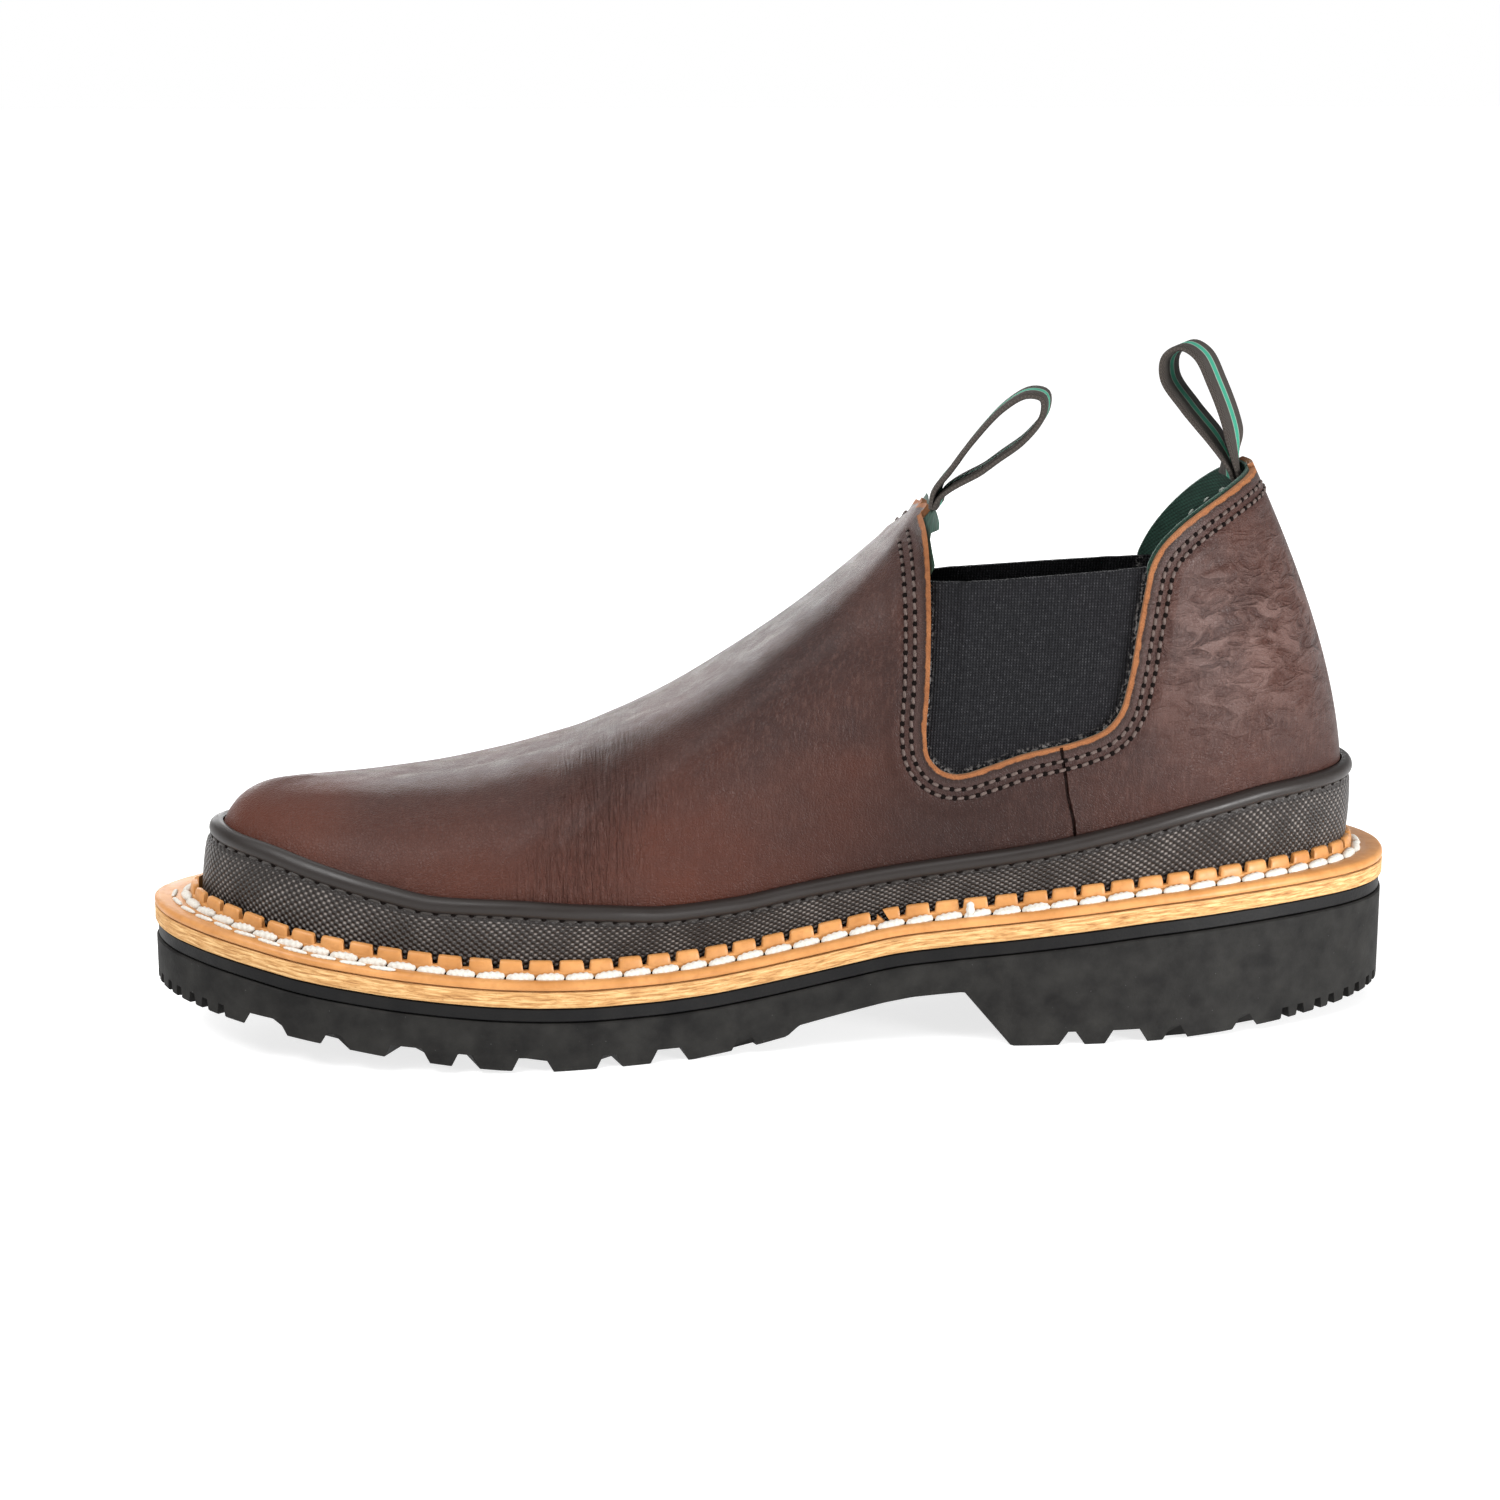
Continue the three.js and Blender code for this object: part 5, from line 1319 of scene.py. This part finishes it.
# hole: a near-black bit, painted shade in each stitch hole
hole = capsule(1.5, 1.2, 0.5, sides=8, rings=4)
threads, holes, pale = [], [], []
for side in (1, -1):
    for distance, top in ((3.6, 0.995), (5.8, 0.985)):
        line = offset_line(notches[side], distance)
        line = line[line[:, 1] < top * HEIGHT]
        threads += stitched(side, line, UPPER_PITCH, stitch, 0.16)
        holes += stitched(side, line, UPPER_PITCH, hole, 0.02, start=UPPER_PITCH / 2)
    line = offset_line(notches[side], 4.2)
    x, z = line[:, 0] / LENGTH, line[:, 1] / HEIGHT
    line = line[(x < 0.22) & (z > GORE_TOP[side][1]) & (z < 0.98)]
    pale += stitched(side, line, LINING_PITCH, lining_stitch, 0.1, lining=True)
upper_seams = joined("upper_stitches", {brown_thread: threads, painted_hole_shade: holes, pale_thread: pale})


def slit(side, half=0.42, deep=1.25, proud=1.2):
    """A cutter for the open seam below a gore: a narrow slit into the leather."""
    points, normals = on_skin(side, seam_line(side), 24)
    across = unit(np.cross(normals, unit(np.gradient(points, axis=0))))
    rows = [points + across * way * half * (1.6 if rise > 0 else 0.5) + normals * rise
            for way, rise in ((-1, proud), (-1, -deep), (1, -deep), (1, proud))]
    return capped_tube("cutter", np.stack(rows), leather)


cut(leather_skin, [slit(side) for side in (1, -1)])
co = corners_of(leather_skin)


def spot(x, z, long, high):
    """A soft oval on both sides of the leather, round x and z in millimetres."""
    return np.exp(-((co[:, 0] - x) / long) ** 2 - ((co[:, 2] - z) / high) ** 2)


bend = (co[:, 0] - 0.652 * LENGTH) + (co[:, 2] - 0.4 * HEIGHT) * 0.42
MARKS = {
    "edge": edge_distance(co),
    # the heel quarter's wrinkles, which also carry a painted highlight on their ridges
    "wrinkled_and_highlit": spot(44, 98, 27, 22),
    "flexed": np.exp(-(bend / 13) ** 2) * ease((0.6 * HEIGHT - co[:, 2]) / 20),
    # painted shade: where the leather is darkened below each gore and high on the vamp
    "painted_shade_patches": np.minimum(spot(118, 48, 38, 26) + 0.7 * spot(206, 84, 26, 14), 1),
    # painted light: where the leather is lightened low on the vamp's front and on the toe
    "painted_light_patches": np.minimum(spot(236, 46, 34, 16) + 0.8 * spot(290, 56, 20, 14), 1),
}
for name, values in MARKS.items():
    set_attribute(leather_skin, name, values)
finish_mesh(leather_skin.data, SKIN_ANGLE)


# Pull loops

LOOP_STEPS, LOOP_ACROSS = 110, 13


def loop(name, rows, pivot, start, climb, twist, bend, sewn, foot, hold, grip):
    """A strip of webbing turned on itself, its middle line given by rows.

    It is sewn in below the height sewn. It turns by twist about pivot between start and climb above it, and
    bends across its width by bend where it hasn't turned. Over hold above sewn its legs are drawn toward
    foot by the share grip. All places but bend, grip and twist are shares of length or height.
    """
    pivot, foot, start, sewn = pivot * LENGTH, foot * LENGTH, start * HEIGHT, sewn * HEIGHT
    middle = through([(x * LENGTH, z * HEIGHT) for x, z in rows], each=14)
    middle = evenly(middle[middle[:, 1] > sewn], LOOP_STEPS)
    held = 1 - ease((middle[:, 1] - sewn) / (hold * HEIGHT))
    middle[:, 0] += grip * held * (foot - middle[:, 0])
    t = unit(np.gradient(middle, axis=0))
    across = np.linspace(-0.5, 0.5, LOOP_ACROSS)
    grid, widths = [], []
    for face in (1, -1):
        for share in across[::face]:
            thick = face * (0.45 if abs(share) > 0.49 else 1.0) * WEBBING / 2
            x, z = middle[:, 0] - t[:, 1] * thick, middle[:, 1] + t[:, 0] * thick
            y = share * LOOP_WIDTH
            rise = ease((z - start) / (climb * HEIGHT))
            bent = x + bend * y * y * (1 - rise) - pivot
            c, s = np.cos(twist * rise), np.sin(twist * rise)
            grid.append(np.column_stack([pivot + bent * c - y * s, bent * s + y * c, z]))
            widths.append(y)
    return capped_tube(name, np.stack(grid), webbing, lengths(middle), np.array(closed(widths)))


front_loop = loop("front_loop", FRONT_LOOP, pivot=0.3696, start=0.855, climb=0.05, twist=-0.235,
                  bend=-0.003, sewn=0.922, foot=0.3768, hold=0.07, grip=0.8)
back_loop = loop("back_loop", BACK_LOOP, pivot=0.1436, start=0.945, climb=0.11, twist=-0.42,
                 bend=0.012, sewn=0.965, foot=0.1375, hold=0.1, grip=0.62)

# Each piece with its slot and the node that it stands for.
PIECES = [
    (outsole, "outsole_rubber", ["outsole"]), (rubber_layer, "layer_rubber", ["rubber_layer"]),
    (midsole, "midsole_fibre", ["midsole"]), (welt, "welt_tan", ["welt"]), (teeth, "welt_tan", []),
    (welt_stitches, "webbing", []), (rand, "rand_rubber", ["rand"]),
    (leather_skin, "upper_leather", ["upper"]), (lining_skin, "gore_elastic", []),
    (gores[1], "gore_elastic", ["gore_inner"]), (gores[-1], "gore_elastic", ["gore_outer"]),
    (insole, "insole_cloth", ["insole"]), (upper_seams, "upper_leather", []),
    (rand_seam, "rand_rubber", []), (front_loop, "webbing", ["pull_loop_front"]),
    (back_loop, "webbing", ["pull_loop_back"]),
]
for piece, slot_name, nodes in PIECES:
    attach(piece, "root")
    if nodes:
        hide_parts(*nodes)

# Floor, light and camera


floor_look = Look("pale_floor", Emission_Color=(1, 1, 1), Emission_Strength=0.76, Specular_IOR_Level=0.1)
pale_floor = floor_look.done((0.5, 0.5, 0.5), floor_look.between(floor_look.noise(3), 0.65, 0.7))
FLOOR = 12000.0  # half its side
corners = [(x, y, -0.05) for x, y in ((-FLOOR, -FLOOR), (FLOOR, -FLOOR), (FLOOR, FLOOR), (-FLOOR, FLOOR))]
make_mesh("floor", corners, [(0, 1, 2, 3)], [pale_floor])

scene.view_settings.view_transform = "Standard"
world = bpy.data.worlds.new("studio")
world.use_nodes = True
sky = world.node_tree
direction = sky.nodes.new("ShaderNodeTexCoord")
split = sky.nodes.new("ShaderNodeSeparateXYZ")
shade = sky.nodes.new("ShaderNodeValToRGB")
sky.links.new(direction.outputs["Generated"], split.inputs[0])
sky.links.new(split.outputs[2], shade.inputs["Fac"])
sky.links.new(shade.outputs["Color"], sky.nodes["Background"].inputs["Color"])
# how far up a direction points, and the brightness there
set_stops(shade, [(0.0, 1.0), (0.12, 1.0), (0.24, 0.26), (0.6, 0.34), (0.9, 0.8)])
scene.world = world


def aimed(name, data, place, target):
    """A light or a camera at a place, looking at a target."""
    obj = bpy.data.objects.new(name, data)
    obj.location = place
    obj.rotation_euler = (Vector(target) - Vector(place)).to_track_quat("-Z", "Y").to_euler()
    scene.collection.objects.link(obj)
    return obj


# Lights: place, target, size and power.
LIGHTS = {
    "behind": ((0.1, -0.75, 0.85), (0.02, 0, 0.06), (1.2, 0.4), 2.4),
    "key": ((0.58, 0.48, 0.95), (0.03, 0, 0.06), (0.7, 0.5), 12),
    "side": ((-0.5, 0.43, 0.11), (-0.1, 0.03, 0.09), (0.22, 0.19), 4.2),
    "rim": ((0.14, -0.85, 0.24), (0.03, 0, 0.1), (0.9, 0.12), 3.0),
}
for name, (place, target, size, power) in LIGHTS.items():
    lamp = bpy.data.lights.new(name, "AREA")
    lamp.shape = "RECTANGLE"
    lamp.size, lamp.size_y = size
    lamp.energy = power
    aimed(name, lamp, place, target)

camera = bpy.data.cameras.new("camera")
camera.lens, camera.sensor_width = 72.8, 36.0
camera.clip_start, camera.clip_end = 0.05, 60
scene.camera = aimed("camera", camera, (0.0593, 0.7442, 0.2378), (0.0075, 0.0026, 0.0661))
